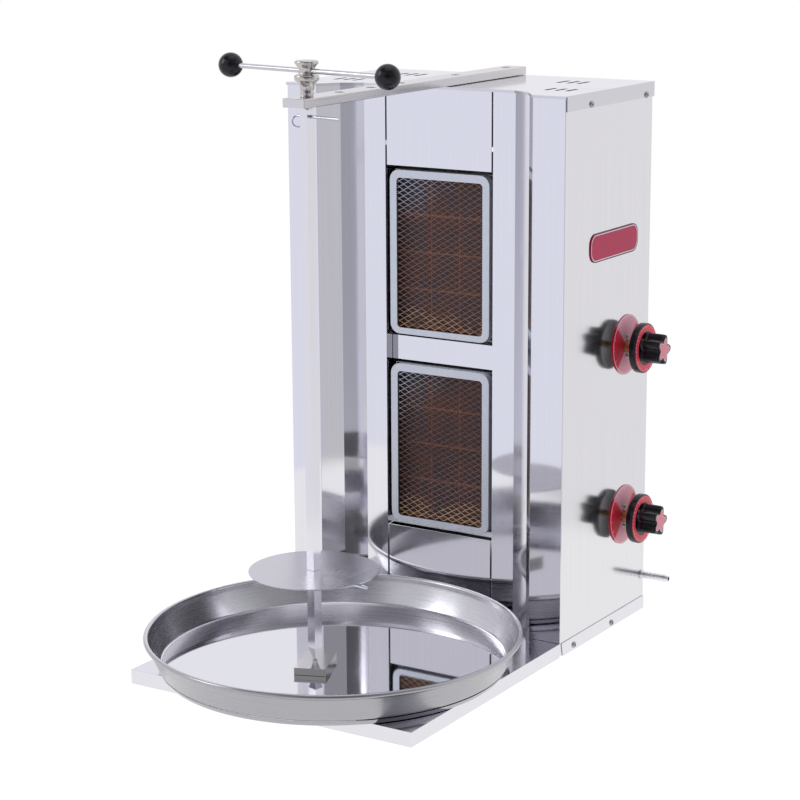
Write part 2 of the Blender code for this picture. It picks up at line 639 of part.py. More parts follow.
def make_hub(parent):
    """Nickelled hub, turned like a vase, bored for the spit's journal and across for the handle rod."""
    base = ARM_TOP + GAP
    profile = [(0, HUB_TOP), (0.0125, HUB_TOP), (0.0137, HUB_TOP - 0.001), (0.0137, HUB_TOP - 0.0045),
               (0.0108, HUB_TOP - 0.0075), (0.0089, HUB_TOP - 0.0115), (0.0089, HUB_TOP - 0.0150),
               (0.0105, HUB_TOP - 0.0165), (0.0143, HUB_TOP - 0.0175), (0.0143, HUB_TOP - 0.0232),
               (0.0088, HUB_TOP - 0.0290), (0.0082, HUB_TOP - 0.0335), (0.0076, HUB_TOP - 0.0340),
               (0.0076, base), (0, base)]
    hub = turned("hub", profile, NICKEL, parent, steps=28)
    cut(hub, rod("journal_socket", JOURNAL_R + GAP, (0, 0, base - 0.01), (0, 0, SPIT_TOP + GAP), NICKEL, parent),
        rod("handle_bore", HANDLE_R + GAP, (-0.03, 0, HANDLE_Z), (0.03, 0, HANDLE_Z), NICKEL, parent, sides=16))


def make_handle(parent):
    """Cross handle: a rod through the hub with a ball screwed on each end."""
    rod_end = BALL_AT - 0.006
    rod("handle_rod", HANDLE_R, (-rod_end, 0, HANDLE_Z), (rod_end, 0, HANDLE_Z), CHROME, parent, sides=16)
    for name, side in (("left", -1), ("right", 1)):
        ball_mesh = mesh_from("ball", lambda bm: bmesh.ops.create_uvsphere(bm, u_segments=28, v_segments=16,
                                                                        radius=BALL_R))
        ball = place("handle_ball_" + name, ball_mesh, BAKELITE, parent, at=(side * BALL_AT, 0, HANDLE_Z))
        cut(ball, rod("ball_bore_" + name, HANDLE_R + GAP, (side * (BALL_AT - 0.03), 0, HANDLE_Z),
                      (side * (rod_end + GAP), 0, HANDLE_Z), BAKELITE, parent, sides=16))


def make_block(parent):
    """Foot block on the pan's floor: two plates with a narrower one between them, and a socket for the point."""
    def layer(name, inset, low, high):
        return box(name, (-BLOCK_W / 2 + inset, -BLOCK_L / 2 + inset, low),
                   (BLOCK_W / 2 - inset, BLOCK_L / 2 - inset, high), STEEL, parent)

    block = layer("foot_block", 0, 0.0346, BLOCK_TOP)
    join(block, layer("block_groove", 0.0008, 0.0334, 0.0348), layer("block_lower", 0, PAN_FLOOR + GAP, 0.0336))
    cut(block, rod("tip_socket", 0.0035, (0, 0, SPIT_TIP_Z - 0.001), (0, 0, BLOCK_TOP + 0.01), STEEL, parent,
                   sides=16))


def make_pan(parent):
    """Round drip pan, spun from sheet: flat floor, flaring wall and a rolled rim. It stands on a ring."""
    floor = PAN_FLOOR
    bottom = floor - PAN_SHEET
    bead_x, bead_z = PAN_RIM_R - BEAD_R, PAN_TOP - BEAD_R
    wall_in = bead_x - BEAD_R
    bead = [(bead_x + BEAD_R * math.cos(a), bead_z + BEAD_R * math.sin(a))
            for a in (math.radians(180 - 45 * i) for i in range(6))]
    profile = [(0, floor), (PAN_BASE_R - 0.0030, floor), (PAN_BASE_R - 0.0005, floor + 0.0015), (wall_in, bead_z - 0.004)]
    profile += bead
    profile += [(wall_in + 0.0012, bead_z - 0.0048), (PAN_BASE_R + 0.0009, bottom + 0.0015),
                (PAN_BASE_R - 0.0010, bottom), (0, bottom)]
    turned("drip_pan", profile, STEEL, parent, at=(0, PAN_Y, 0), steps=64)
    foot, head = TRAY_TOP + GAP, bottom - GAP
    outline("pan_ring", [circle(RING_R, 64), circle(RING_R - RING_SHEET, 64)], head - foot, STEEL, parent,
            at=(0, PAN_Y, (foot + head) / 2))


# ---------------------------------------------------------------- the rest
def make_name_plate(parent):
    outline("name_plate", [rounded(PLATE_W, PLATE_H, PLATE_ROUND)], BADGE, RED, parent,
            at=(BODY_HALF + GAP + BADGE / 2, PLATE_Y, PLATE_Z), turn=ON_SIDE)


def make_feet(parent):
    """Rubber feet: tall ones under the tray's top, thin pads under the casing floor."""
    for side, word in ((-1, "left"), (1, "right")):
        x = side * FOOT_X
        rod("foot_front_" + word, FOOT_R, (x, FOOT_FRONT_Y, 0), (x, FOOT_FRONT_Y, TRAY_TOP - SHEET - GAP), RUBBER,
            parent, sides=20)
        rod("foot_rear_" + word, FOOT_R, (x, FOOT_REAR_Y, 0), (x, FOOT_REAR_Y, FLOOR_BOTTOM - GAP), RUBBER,
            parent, sides=20)


clear_scene()
PARTS = new_collection("spit_grill")
CUTTERS = new_collection("cutters")

STEEL = finish("polished_sheet", (0.72, 0.72, 0.74), 1.0, 0.18)
POLISHED = finish("polished_bar", (0.74, 0.74, 0.76), 1.0, 0.15)
BAR_STEEL = finish("drawn_bar", (0.66, 0.64, 0.62), 1.0, 0.35)
BOLT_STEEL = finish("zinc_bolt", (0.60, 0.60, 0.60), 1.0, 0.30)
PRESSED = finish("pressed_steel", (0.45, 0.45, 0.45), 1.0, 0.45)
ENAMEL = finish("galvanised_frame", (0.66, 0.70, 0.76), 0.6, 0.40)
COPPERED = finish("heat_tinted_mesh", (0.45, 0.32, 0.26), 1.0, 0.35)
CERAMIC = finish("fired_ceramic", (0.30, 0.14, 0.10), 0.0, 0.80)
BRASS = finish("brass", (0.62, 0.46, 0.22), 1.0, 0.35)
COPPER = finish("copper_tube", (0.72, 0.40, 0.26), 1.0, 0.30)
ZINC = finish("zinc_nipple", (0.58, 0.60, 0.60), 1.0, 0.35)
NICKEL = finish("nickelled_hub", (0.78, 0.74, 0.70), 1.0, 0.12)
CHROME = finish("chromed_rod", (0.80, 0.80, 0.82), 1.0, 0.08)
BAKELITE = finish("black_bakelite", (0.015, 0.015, 0.02), 0.0, 0.20)
RED = finish("red_print", (0.55, 0.02, 0.06), 0.3, 0.30)
RUBBER = finish("black_rubber", (0.02, 0.02, 0.02), 0.0, 0.80)

GRILL = empty("grill", None, place=(SHIFT_X, SHIFT_Y, 0))
SPIT_AXIS = empty("spit_axis", GRILL, place=(0, SPIT_Y, 0), turn=(0, 0, HANDLE_TURN))
BLOCK_SPOT = empty("block_spot", GRILL, place=(0, SPIT_Y, 0), turn=(0, 0, BLOCK_TURN))

make_tray(GRILL)
make_floor(GRILL)
make_side("side_panel_left", -1, GRILL)
make_side("side_panel_right", 1, GRILL)
make_reflector("reflector_left", -1, GRILL)
make_reflector("reflector_right", 1, GRILL)
make_centre_plates(GRILL)
make_back(GRILL)
make_cover(GRILL)
for level in BURNER_Z:
    make_burner(level, GRILL)
    make_tap(level, GRILL)
make_manifold(GRILL)
make_arm(GRILL)
make_spit(SPIT_AXIS)
make_disc(SPIT_AXIS)
make_top_pin(SPIT_AXIS)
make_hub(SPIT_AXIS)
make_handle(SPIT_AXIS)
make_block(BLOCK_SPOT)
make_pan(GRILL)
make_name_plate(GRILL)
make_feet(GRILL)
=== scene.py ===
"""The finished look of an upright gas spit grill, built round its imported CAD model.

Metres, +Z up. The burners face -Y and the gas taps are on the +X side.
"""

import math

import bmesh
import bpy
from mathutils import Matrix, Vector


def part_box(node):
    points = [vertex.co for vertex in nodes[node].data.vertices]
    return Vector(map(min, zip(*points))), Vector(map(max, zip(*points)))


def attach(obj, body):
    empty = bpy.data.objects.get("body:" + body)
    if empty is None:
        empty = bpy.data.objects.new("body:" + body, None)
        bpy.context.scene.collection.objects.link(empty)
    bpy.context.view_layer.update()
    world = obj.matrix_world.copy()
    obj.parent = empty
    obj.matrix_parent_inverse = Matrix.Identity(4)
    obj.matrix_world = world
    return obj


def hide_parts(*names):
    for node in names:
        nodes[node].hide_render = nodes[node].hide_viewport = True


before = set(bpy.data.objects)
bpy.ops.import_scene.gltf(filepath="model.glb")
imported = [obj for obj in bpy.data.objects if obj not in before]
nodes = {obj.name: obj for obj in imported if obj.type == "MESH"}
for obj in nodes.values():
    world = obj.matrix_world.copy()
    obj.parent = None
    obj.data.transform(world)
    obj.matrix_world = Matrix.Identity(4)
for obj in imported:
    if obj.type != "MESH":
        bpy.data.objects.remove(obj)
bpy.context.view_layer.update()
scene = bpy.context.scene

# The studio: a white table top in a bright tent. The tent's roof is dark towards the front, its sides and the
# table dim towards the onlooker, which polished steel needs to show its folds.
TABLE_REACH = 0.62
PLAIN_WHITE = (1.0, 1.0, 1.0)
ROOF_GREY, SIDE_WHITE = (0.26, 0.255, 0.28), (0.93, 0.93, 0.97)
LOW_WHITE_BACK, LOW_WHITE_FRONT = (0.90, 0.89, 0.91), (0.88, 0.89, 0.98)
CAMERA_AZIMUTH, CAMERA_ELEVATION, CAMERA_ROLL = math.radians(32.26), math.radians(13.07), math.radians(-0.324)
CAMERA_PLACE = Vector((1.4536, -2.2750, 0.9569))

for leftover in [thing for thing in scene.objects if thing.type in ("LIGHT", "CAMERA")]:
    bpy.data.objects.remove(leftover, do_unlink=True)


def add_node(tree, kind, **settings):
    """A shader node with its settings; a setting that isn't a property of the node is one of its sockets."""
    made = tree.nodes.new("ShaderNode" + kind)
    for key, value in settings.items():
        if hasattr(made, key):
            setattr(made, key, value)
        else:
            made.inputs[key.replace("_", " ")].default_value = value
    return made


def maths(tree, operation, *values):
    """A maths node; each value is a number or another node's output."""
    made = add_node(tree, "Math", operation=operation)
    for socket, value in zip(made.inputs, values):
        if isinstance(value, (int, float)):
            socket.default_value = value
        else:
            tree.links.new(value, socket)
    return made.outputs[0]


def ramp(tree, value, low, high, to_low=0.0, to_high=1.0):
    """value between low and high turned into a number between to_low and to_high."""
    made = add_node(tree, "MapRange", interpolation_type="SMOOTHSTEP")
    for socket, number in zip(("From Min", "From Max", "To Min", "To Max"), (low, high, to_low, to_high)):
        made.inputs[socket].default_value = number
    tree.links.new(value, made.inputs["Value"])
    return made.outputs["Result"]


def blend_colours(tree, share, first, second):
    """The first colour where share is 0, the second where it is 1; a colour is three numbers or an output."""
    made = add_node(tree, "Mix", data_type="RGBA")
    tree.links.new(share, made.inputs[0])
    for socket, colour in ((made.inputs[6], first), (made.inputs[7], second)):
        if isinstance(colour, tuple):
            socket.default_value = (*colour, 1)
        else:
            tree.links.new(colour, socket)
    return made.outputs[2]


def light_the_tent():
    tent = bpy.data.worlds.new("studio_tent")
    scene.world = tent
    tent.use_nodes = True
    tree = tent.node_tree
    tree.nodes.clear()
    direction = add_node(tree, "TexCoord").outputs["Generated"]
    apart = add_node(tree, "SeparateXYZ")
    tree.links.new(direction, apart.inputs[0])
    height = apart.outputs["Z"]

    def facing(azimuth):
        """How far a direction points to an azimuth, counted from the front towards the right."""
        made = add_node(tree, "VectorMath", operation="DOT_PRODUCT")
        made.inputs[1].default_value = (math.sin(azimuth), -math.cos(azimuth), 0)
        tree.links.new(direction, made.inputs[0])
        return made.outputs["Value"]

    onlooker, front = facing(CAMERA_AZIMUTH), facing(math.radians(5))
    right, front_right, front_left = (facing(math.radians(angle)) for angle in (82, 50, -27))
    low_shade = maths(tree, "MULTIPLY", ramp(tree, onlooker, 0.88, 0.97, 1.0, 0.46),
                      ramp(tree, right, 0.7, 0.97, 1.0, 0.70))
    side_shade = maths(tree, "MULTIPLY", ramp(tree, front_right, 0.35, 0.85, 1.0, 0.40),
                       maths(tree, "MULTIPLY", ramp(tree, front_left, 0.80, 0.97, 1.0, 0.78),
                             ramp(tree, onlooker, 0.78, 0.94, 1.0, 0.30)))
    roof = maths(tree, "MULTIPLY", ramp(tree, height, 0.54, 0.72), ramp(tree, front, -0.35, 0.20))
    low_white = blend_colours(tree, ramp(tree, front, 0.2, 0.7), LOW_WHITE_BACK, LOW_WHITE_FRONT)
    low = blend_colours(tree, low_shade, (0, 0, 0), low_white)
    side = blend_colours(tree, side_shade, (0, 0, 0), SIDE_WHITE)
    shade = blend_colours(tree, ramp(tree, height, -0.02, 0.03), low, blend_colours(tree, roof, side, ROOF_GREY))
    seen = add_node(tree, "LightPath").outputs["Is Camera Ray"]
    colour = blend_colours(tree, seen, shade, PLAIN_WHITE)
    glow = add_node(tree, "Background", Strength=1.0)
    tree.links.new(colour, glow.inputs["Color"])
    tree.links.new(glow.outputs[0], add_node(tree, "OutputWorld").inputs["Surface"])


def softbox(name, place, towards, width, height, power):
    lamp = bpy.data.lights.new(name, "AREA")
    lamp.shape, lamp.size, lamp.size_y, lamp.energy = "RECTANGLE", width, height, power
    holder = bpy.data.objects.new(name, lamp)
    scene.collection.objects.link(holder)
    holder.location = place
    holder.rotation_mode = "QUATERNION"
    holder.rotation_quaternion = (Vector(towards) - Vector(place)).to_track_quat("-Z", "Y")


light_the_tent()
softbox("softbox_left", (-2.2, -1.8, 2.0), (0, 0, 0.4), 1.2, 1.6, 14)
softbox("softbox_over", (0.3, -0.3, 2.8), (0, 0, 0.3), 1.6, 1.6, 6)


def table_paper():
    """White paper that glows plain white to the eye. What the steel mirrors of it glows dimmer towards the
    onlooker: a painted shadow of the grill on the table.
    """
    made = bpy.data.materials.new("white_table")
    made.use_nodes = True
    tree = made.node_tree
    tree.nodes.clear()
    spot = add_node(tree, "SeparateXYZ")
    tree.links.new(add_node(tree, "TexCoord").outputs["Object"], spot.inputs[0])
    forwards = maths(tree, "ADD", maths(tree, "MULTIPLY", spot.outputs["X"], 0.5),
                     maths(tree, "MULTIPLY", spot.outputs["Y"], -0.87))
    # Painted shadow: in mirror images the table glows 0.40 towards the front right, for the grill's shadow on it.
    mirrored_painted_shadow = add_node(tree, "Emission")
    tree.links.new(ramp(tree, forwards, 0.34, 0.50, 1.0, 0.40), mirrored_painted_shadow.inputs["Strength"])
    plain = add_node(tree, "Emission", Strength=1.05)
    seen = add_node(tree, "LightPath").outputs["Is Camera Ray"]
    paper = add_node(tree, "MixShader")
    for socket, output in zip(paper.inputs, (seen, mirrored_painted_shadow.outputs[0], plain.outputs[0])):
        tree.links.new(output, socket)
    tree.links.new(paper.outputs[0], add_node(tree, "OutputMaterial").inputs["Surface"])
    return made


table_mesh = bpy.data.meshes.new("table_top")
table_mesh.from_pydata([(x * TABLE_REACH, y * TABLE_REACH, 0) for x, y in ((-1, -1), (1, -1), (1, 1), (-1, 1))], [],
                       [(0, 1, 2, 3)])
table_top = bpy.data.objects.new("table_top", table_mesh)
scene.collection.objects.link(table_top)
table_mesh.materials.append(table_paper())

camera = bpy.data.objects.new("camera", bpy.data.cameras.new("camera"))
scene.collection.objects.link(camera)
scene.camera = camera
camera.data.lens, camera.data.sensor_width = 102.0, 36.0
camera_back = Vector((math.sin(CAMERA_AZIMUTH) * math.cos(CAMERA_ELEVATION),
                      -math.cos(CAMERA_AZIMUTH) * math.cos(CAMERA_ELEVATION), math.sin(CAMERA_ELEVATION)))
upright = (-camera_back).to_track_quat("-Z", "Y").to_matrix().to_4x4()
camera.matrix_world = Matrix.Translation(CAMERA_PLACE) @ upright @ Matrix.Rotation(CAMERA_ROLL, 4, "Z")
scene.view_settings.view_transform = "Standard"

# Base tray, casing floor and rubber feet. The tray and the floor are folded from 1 mm stainless sheet with a
# mirror finish, the tray's tongue lies under the front panels. The feet are moulded rubber, screwed on.
MIRROR_STEEL = (0.785, 0.780, 0.825)


def start_material(name, colour, metallic=0.0, roughness=0.5):
    """A new material with its tree and its shader."""
    made = bpy.data.materials.new(name)
    made.use_nodes = True
    shader = made.node_tree.nodes["Principled BSDF"]
    shader.inputs["Base Color"].default_value = (*colour, 1)
    shader.inputs["Metallic"].default_value = metallic
    shader.inputs["Roughness"].default_value = roughness
    return made, made.node_tree, shader


def grain_noise(tree, stretch, detail=5.0, place=None):
    """Noise in the grill's own metres, drawn out by its three scales."""
    if place is None:
        place = add_node(tree, "TexCoord").outputs["Object"]
    mapping = add_node(tree, "Mapping", Scale=stretch)
    tree.links.new(place, mapping.inputs["Vector"])
    made = add_node(tree, "TexNoise", Scale=1.0, Detail=detail, Roughness=0.6)
    tree.links.new(mapping.outputs[0], made.inputs["Vector"])
    return made.outputs[0]


def dent(tree, shader, height, depth):
    """Adds a bump to the shader's normal, on top of any it has."""
    bump = add_node(tree, "Bump", Strength=1.0, Distance=depth)
    tree.links.new(height, bump.inputs["Height"])
    if shader.inputs["Normal"].is_linked:
        tree.links.new(shader.inputs["Normal"].links[0].from_socket, bump.inputs["Normal"])
    tree.links.new(bump.outputs[0], shader.inputs["Normal"])


def sheet_steel(name, grain, roughness=0.08, streak=0.04, ripple=0.00012, colour=MIRROR_STEEL, scratch=0.000003):
    """Polished stainless: fine rolling lines along the axis with the small number in grain, hazy smudges, and the
    slow ripple of thin sheet."""
    made, tree, shader = start_material(name, colour, 1.0, roughness)
    lines = grain_noise(tree, grain)
    smudges = grain_noise(tree, (9, 9, 9), 3.0)
    rough = maths(tree, "ADD", ramp(tree, lines, 0.3, 0.7, roughness - streak / 2, roughness + streak / 2),
                  ramp(tree, smudges, 0.5, 0.75, 0.0, 0.05))
    tree.links.new(maths(tree, "MAXIMUM", rough, 0.02), shader.inputs["Roughness"])
    dull = tuple(channel * 0.96 for channel in colour)
    lined = blend_colours(tree, ramp(tree, lines, 0.25, 0.75), dull, colour)
    tree.links.new(lined, shader.inputs["Base Color"])
    dent(tree, shader, grain_noise(tree, (7, 7, 5), 1.0), ripple)
    dent(tree, shader, lines, scratch)
    return made


def finish_node(name, material, edge=0.0003):
    """Gives a CAD part its material, and breaks its edges as a real one's are."""
    part = nodes[name]
    part.data.materials.clear()
    part.data.materials.append(material)
    if edge:
        weld = part.modifiers.new("one skin", "WELD")
        weld.merge_threshold = 0.00001
        broken = part.modifiers.new("broken edges", "BEVEL")
        broken.width, broken.segments, broken.limit_method = edge, 2, "ANGLE"
        broken.angle_limit = math.radians(40)
        broken.use_clamp_overlap = True
    return part


flat_mirror = sheet_steel("tray_steel", (4, 700, 700), roughness=0.09)
finish_node("base_tray", flat_mirror)
finish_node("body_floor", flat_mirror)

foot_rubber, foot_tree, foot_shader = start_material("foot_rubber", (0.02, 0.02, 0.021), 0.0, 0.75)
foot_specks = grain_noise(foot_tree, (900, 900, 900), 4.0)
foot_tree.links.new(ramp(foot_tree, foot_specks, 0.3, 0.7, 0.6, 0.9), foot_shader.inputs["Roughness"])
dent(foot_tree, foot_shader, foot_specks, 0.00005)
for corner in ("front_left", "front_right", "rear_left", "rear_right"):
    finish_node("foot_" + corner, foot_rubber, edge=0.0006)

# Side panels, reflectors and the three plates between the burners: 1 mm mirror-polished stainless, folded on a
# brake. The rolling lines run upright, and the reflectors' facets throw the heat onto the meat.
panel_steel = sheet_steel("panel_steel", (500, 500, 3), roughness=0.13, streak=0.02, colour=(0.785, 0.78, 0.80))
reflector_steel = sheet_steel("reflector_steel", (500, 500, 3), roughness=0.06, streak=0.02, ripple=0.0001)
for side in ("left", "right"):
    finish_node("side_panel_" + side, panel_steel)
    finish_node("reflector_" + side, reflector_steel)
for level in ("top", "bridge", "lower"):
    finish_node(level + "_plate", reflector_steel)

# Burners: a pressed frame with a speckled zinc coat, an expanded-metal grille that the heat has tinted, with glints
# painted into its colour as painted highlights, and a ceramic plate of four rows of tiles with fine holes all over,
# their shade painted in. A pressed housing closes each behind.
DIAMOND_WIDE, DIAMOND_TALL = 0.0130, 0.0075
STRAND_WIDE, STRAND_DEEP = 0.00085, 0.0006
CERAMIC_HOLE_PITCH = 0.0021
TILE_TALL, TILE_HALF_WIDE = 0.048, 0.021     # rows from the middle up, and the outer joints' distance from it


def add_piece(name, build, material, body, replaces=(), smooth_angle=35, at=None):
    """A piece whose mesh is filled by build(bm). It rides on its body, and may stand for CAD parts."""
    data = bpy.data.meshes.new(name)
    bm = bmesh.new()
    build(bm)
    bmesh.ops.recalc_face_normals(bm, faces=bm.faces)
    if at is not None:
        bmesh.ops.transform(bm, matrix=at, verts=bm.verts)
    bm.to_mesh(data)
    bm.free()
    data.shade_smooth()
    data.set_sharp_from_angle(angle=math.radians(smooth_angle))
    data.materials.append(material)
    piece = bpy.data.objects.new(name, data)
    scene.collection.objects.link(piece)
    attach(piece, body)
    if replaces:
        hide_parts(*replaces)
    return piece


def frame_coat():
    made, tree, shader = start_material("frame_zinc_coat", (0.62, 0.66, 0.74), 0.55, 0.42)
    specks = grain_noise(tree, (420, 420, 420), 6.0)
    blotches = grain_noise(tree, (40, 40, 40), 3.0)
    light = blend_colours(tree, ramp(tree, specks, 0.28, 0.42), (0.40, 0.46, 0.54), (0.66, 0.69, 0.76))
    warm = blend_colours(tree, ramp(tree, blotches, 0.55, 0.8, 0.0, 0.25), light, (0.66, 0.60, 0.57))
    tree.links.new(warm, shader.inputs["Base Color"])
    tree.links.new(ramp(tree, specks, 0.3, 0.7, 0.28, 0.5), shader.inputs["Roughness"])
    dent(tree, shader, specks, 0.00003)
    return made


def tinted_wire_and_painted_glint(which):
    """Steel that has been red hot: dark brown in the middle. The bluish upper corner is a painted highlight, and the
    gold towards the foot is heat tint with a painted highlight.
    """
    made, tree, shader = start_material("tinted_grille_and_painted_glint_" + which, (0.1, 0.08, 0.08), 0.8, 0.34)
    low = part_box("burner_mesh_" + which)[0]
    apart = add_node(tree, "SeparateXYZ")
    tree.links.new(add_node(tree, "TexCoord").outputs["Object"], apart.inputs[0])
    across = maths(tree, "SUBTRACT", apart.outputs["X"], low.x)
    up = maths(tree, "SUBTRACT", apart.outputs["Z"], low.z)
    spread = maths(tree, "SUBTRACT", grain_noise(tree, (38, 38, 38), 3.0), 0.5)
    patches = maths(tree, "MULTIPLY", spread, 0.10)
    # Painted highlight: a bluish patch in the upper corner, and a gold foot that is heat tint with painted highlight.
    to_corner = maths(tree, "SUBTRACT", maths(tree, "SUBTRACT", up, across), 0.055)
    painted_glint_corner = ramp(tree, maths(tree, "ADD", to_corner, patches), 0.04, 0.13)
    above_foot = ramp(tree, maths(tree, "ADD", up, patches), 0.008, 0.030)
    gold, brown, bluish = (0.42, 0.28, 0.18), (0.20, 0.125, 0.105), (0.40, 0.44, 0.52)
    burnt = blend_colours(tree, above_foot, gold, brown)
    tree.links.new(blend_colours(tree, painted_glint_corner, burnt, bluish), shader.inputs["Base Color"])
    fine = grain_noise(tree, (500, 500, 500), 3.0)
    tree.links.new(ramp(tree, fine, 0.3, 0.7, 0.24, 0.45), shader.inputs["Roughness"])
    return made


def fired_ceramic(which):
    """Tiles fired dark red and blue-black, paler along the joints, with rows of burner holes painted near black as
    painted shade inside them.
    """
    made, tree, shader = start_material("ceramic_" + which, (0.2, 0.1, 0.09), 0.0, 0.7)
    middle = sum(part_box("ceramic_plate_" + which), Vector()) / 2
    place = add_node(tree, "TexCoord").outputs["Object"]
    apart = add_node(tree, "SeparateXYZ")
    tree.links.new(place, apart.inputs[0])
    across = maths(tree, "SUBTRACT", apart.outputs["X"], middle.x)
    up = maths(tree, "SUBTRACT", apart.outputs["Z"], middle.z)
    joint_x = maths(tree, "ABSOLUTE", maths(tree, "SUBTRACT", maths(tree, "ABSOLUTE", across), TILE_HALF_WIDE))
    up_tile = maths(tree, "SUBTRACT", maths(tree, "FLOORED_MODULO", up, TILE_TALL), TILE_TALL / 2)
    joint_z = maths(tree, "SUBTRACT", TILE_TALL / 2, maths(tree, "ABSOLUTE", up_tile))
    joint = maths(tree, "MINIMUM", joint_x, joint_z)
    at_joint = ramp(tree, joint, 0.0008, 0.0018, 1.0, 0.0)
    cells = grain_noise(tree, (26, 26, 26), 2.0, place)
    body = blend_colours(tree, ramp(tree, cells, 0.35, 0.65), (0.180, 0.082, 0.070), (0.105, 0.080, 0.098))
    columns, rows = (maths(tree, "SINE", maths(tree, "MULTIPLY", way, 2 * math.pi / CERAMIC_HOLE_PITCH))
                     for way in (across, up))
    hole = ramp(tree, maths(tree, "MULTIPLY", columns, rows), 0.15, 0.55)
    # Painted shade: the holes are coloured near black for the shade inside them.
    holes_painted_shade = blend_colours(tree, maths(tree, "MULTIPLY", hole, 0.75), body, (0.012, 0.006, 0.006))
    orange = blend_colours(tree, ramp(tree, cells, 0.3, 0.7), (0.52, 0.23, 0.15), (0.40, 0.17, 0.13))
    tree.links.new(blend_colours(tree, at_joint, holes_painted_shade, orange), shader.inputs["Base Color"])
    dent(tree, shader, hole, -0.0004)
    return made


def weave_grille(bm, low, high):
    """Zigzag strands side by side: each touches the next at the knuckles, which leaves the diamonds open."""
    rows = round((high.z - low.z) / (DIAMOND_TALL / 2))
    columns = math.ceil((high.x - low.x) / (DIAMOND_WIDE / 2))
    middle_y = (low.y + high.y) / 2
    swing = DIAMOND_TALL / 4 - STRAND_WIDE / 3
    for row in range(rows):
        base = low.z + (row + 0.5) * DIAMOND_TALL / 2
        rings = []
        for column in range(columns + 1):
            x = min(low.x + column * DIAMOND_WIDE / 2, high.x)
            way = 1 if (row + column) % 2 else -1
            z = min(max(base + way * swing, low.z), high.z)
            y = middle_y + way * STRAND_DEEP * 0.35
            rings.append([bm.verts.new((x, y + dy * STRAND_DEEP, z + dz * STRAND_WIDE))
                          for dy, dz in ((-0.5, -0.62), (-0.75, 0.38), (0.5, 0.62), (0.75, -0.38))])
        for a, b in zip(rings, rings[1:]):
            for i in range(4):
                bm.faces.new((a[i - 1], a[i], b[i], b[i - 1]))
        bm.faces.new(rings[0])
        bm.faces.new(rings[-1][::-1])


zinc_coat = frame_coat()
housing_steel = sheet_steel("housing_steel", (60, 60, 60), roughness=0.4, colour=(0.40, 0.40, 0.41))
for which in ("lower", "upper"):
    finish_node("burner_frame_" + which, zinc_coat, edge=0.0006)
    finish_node("ceramic_plate_" + which, fired_ceramic(which), edge=0)
    finish_node("burner_housing_" + which, housing_steel)
    finish_node("mixing_tube_" + which, housing_steel)
    grille_low, grille_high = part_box("burner_mesh_" + which)
    grille = add_piece("grille_" + which, lambda bm: weave_grille(bm, grille_low, grille_high), tinted_wire_and_painted_glint(which),
                       "casing", replaces=("burner_mesh_" + which,), smooth_angle=20)

# Back panel and top cover: folded stainless, held by sheet-metal screws with cross recesses through their
# turned-down edges. The same screws hold the casing floor's edges.
SCREW_HEAD, SCREW_RISE = 0.0042, 0.0020
finish_node("back_panel", panel_steel)
cover_steel = sheet_steel("cover_steel", (700, 4, 700), roughness=0.10, streak=0.04, colour=(0.68, 0.675, 0.71))
finish_node("top_cover", cover_steel, edge=0)


def lathe(bm, profile, steps=48):
    """Turns a profile of (radius, height) points about Z; a radius of 0 closes an end."""
    rings = []
    for radius, height in profile:
        if radius <= 0:
            rings.append([bm.verts.new((0, 0, height))])
        else:
            rings.append([bm.verts.new((radius * math.cos(2 * math.pi * i / steps),
                                        radius * math.sin(2 * math.pi * i / steps), height))
                          for i in range(steps)])
    for a, b in zip(rings, rings[1:]):
        for i in range(steps):
            corners = [a[(i - 1) % len(a)], a[i % len(a)], b[i % len(b)], b[(i - 1) % len(b)]]
            bm.faces.new([corner for n, corner in enumerate(corners) if corner not in corners[:n]])


def screw_heads(bm, spots, radius=SCREW_HEAD, rise=SCREW_RISE):
    """Domed heads with a cross recess, one at each (place, outward axis)."""
    for number, (place, out) in enumerate(spots):
        arm, reach = radius * 0.14, radius * 0.58
        plan = [(arm, arm), (arm, reach), (-arm, reach), (-arm, arm), (-reach, arm), (-reach, -arm), (-arm, -arm),
                (-arm, -reach), (arm, -reach), (arm, -arm), (reach, -arm), (reach, arm)]
        steps = len(plan)
        turn = 0.4 + number * 1.1
        stand = Matrix.Translation(place) @ Vector(out).to_track_quat("Z", "Y").to_matrix().to_4x4()
        stand = stand @ Matrix.Rotation(turn, 4, "Z")
        rings = [[Vector((x * 0.6, y * 0.6, rise * 0.35)) for x, y in plan],
                 [Vector((x, y, rise * 0.98)) for x, y in plan]]
        angles = [math.atan2(y, x) for x, y in plan]
        for share, height in ((0.70, 0.92), (0.88, 0.66), (0.98, 0.28), (1.0, 0.0)):
            rings.append([Vector((radius * share * math.cos(a), radius * share * math.sin(a), rise * height))
                          for a in angles])
        made = [[bm.verts.new(stand @ point) for point in ring] for ring in rings]
        bm.faces.new(made[0])
        for a, b in zip(made, made[1:]):
            for i in range(steps):
                bm.faces.new((a[i - 1], a[i], b[i], b[i - 1]))
        bm.faces.new(made[-1][::-1])


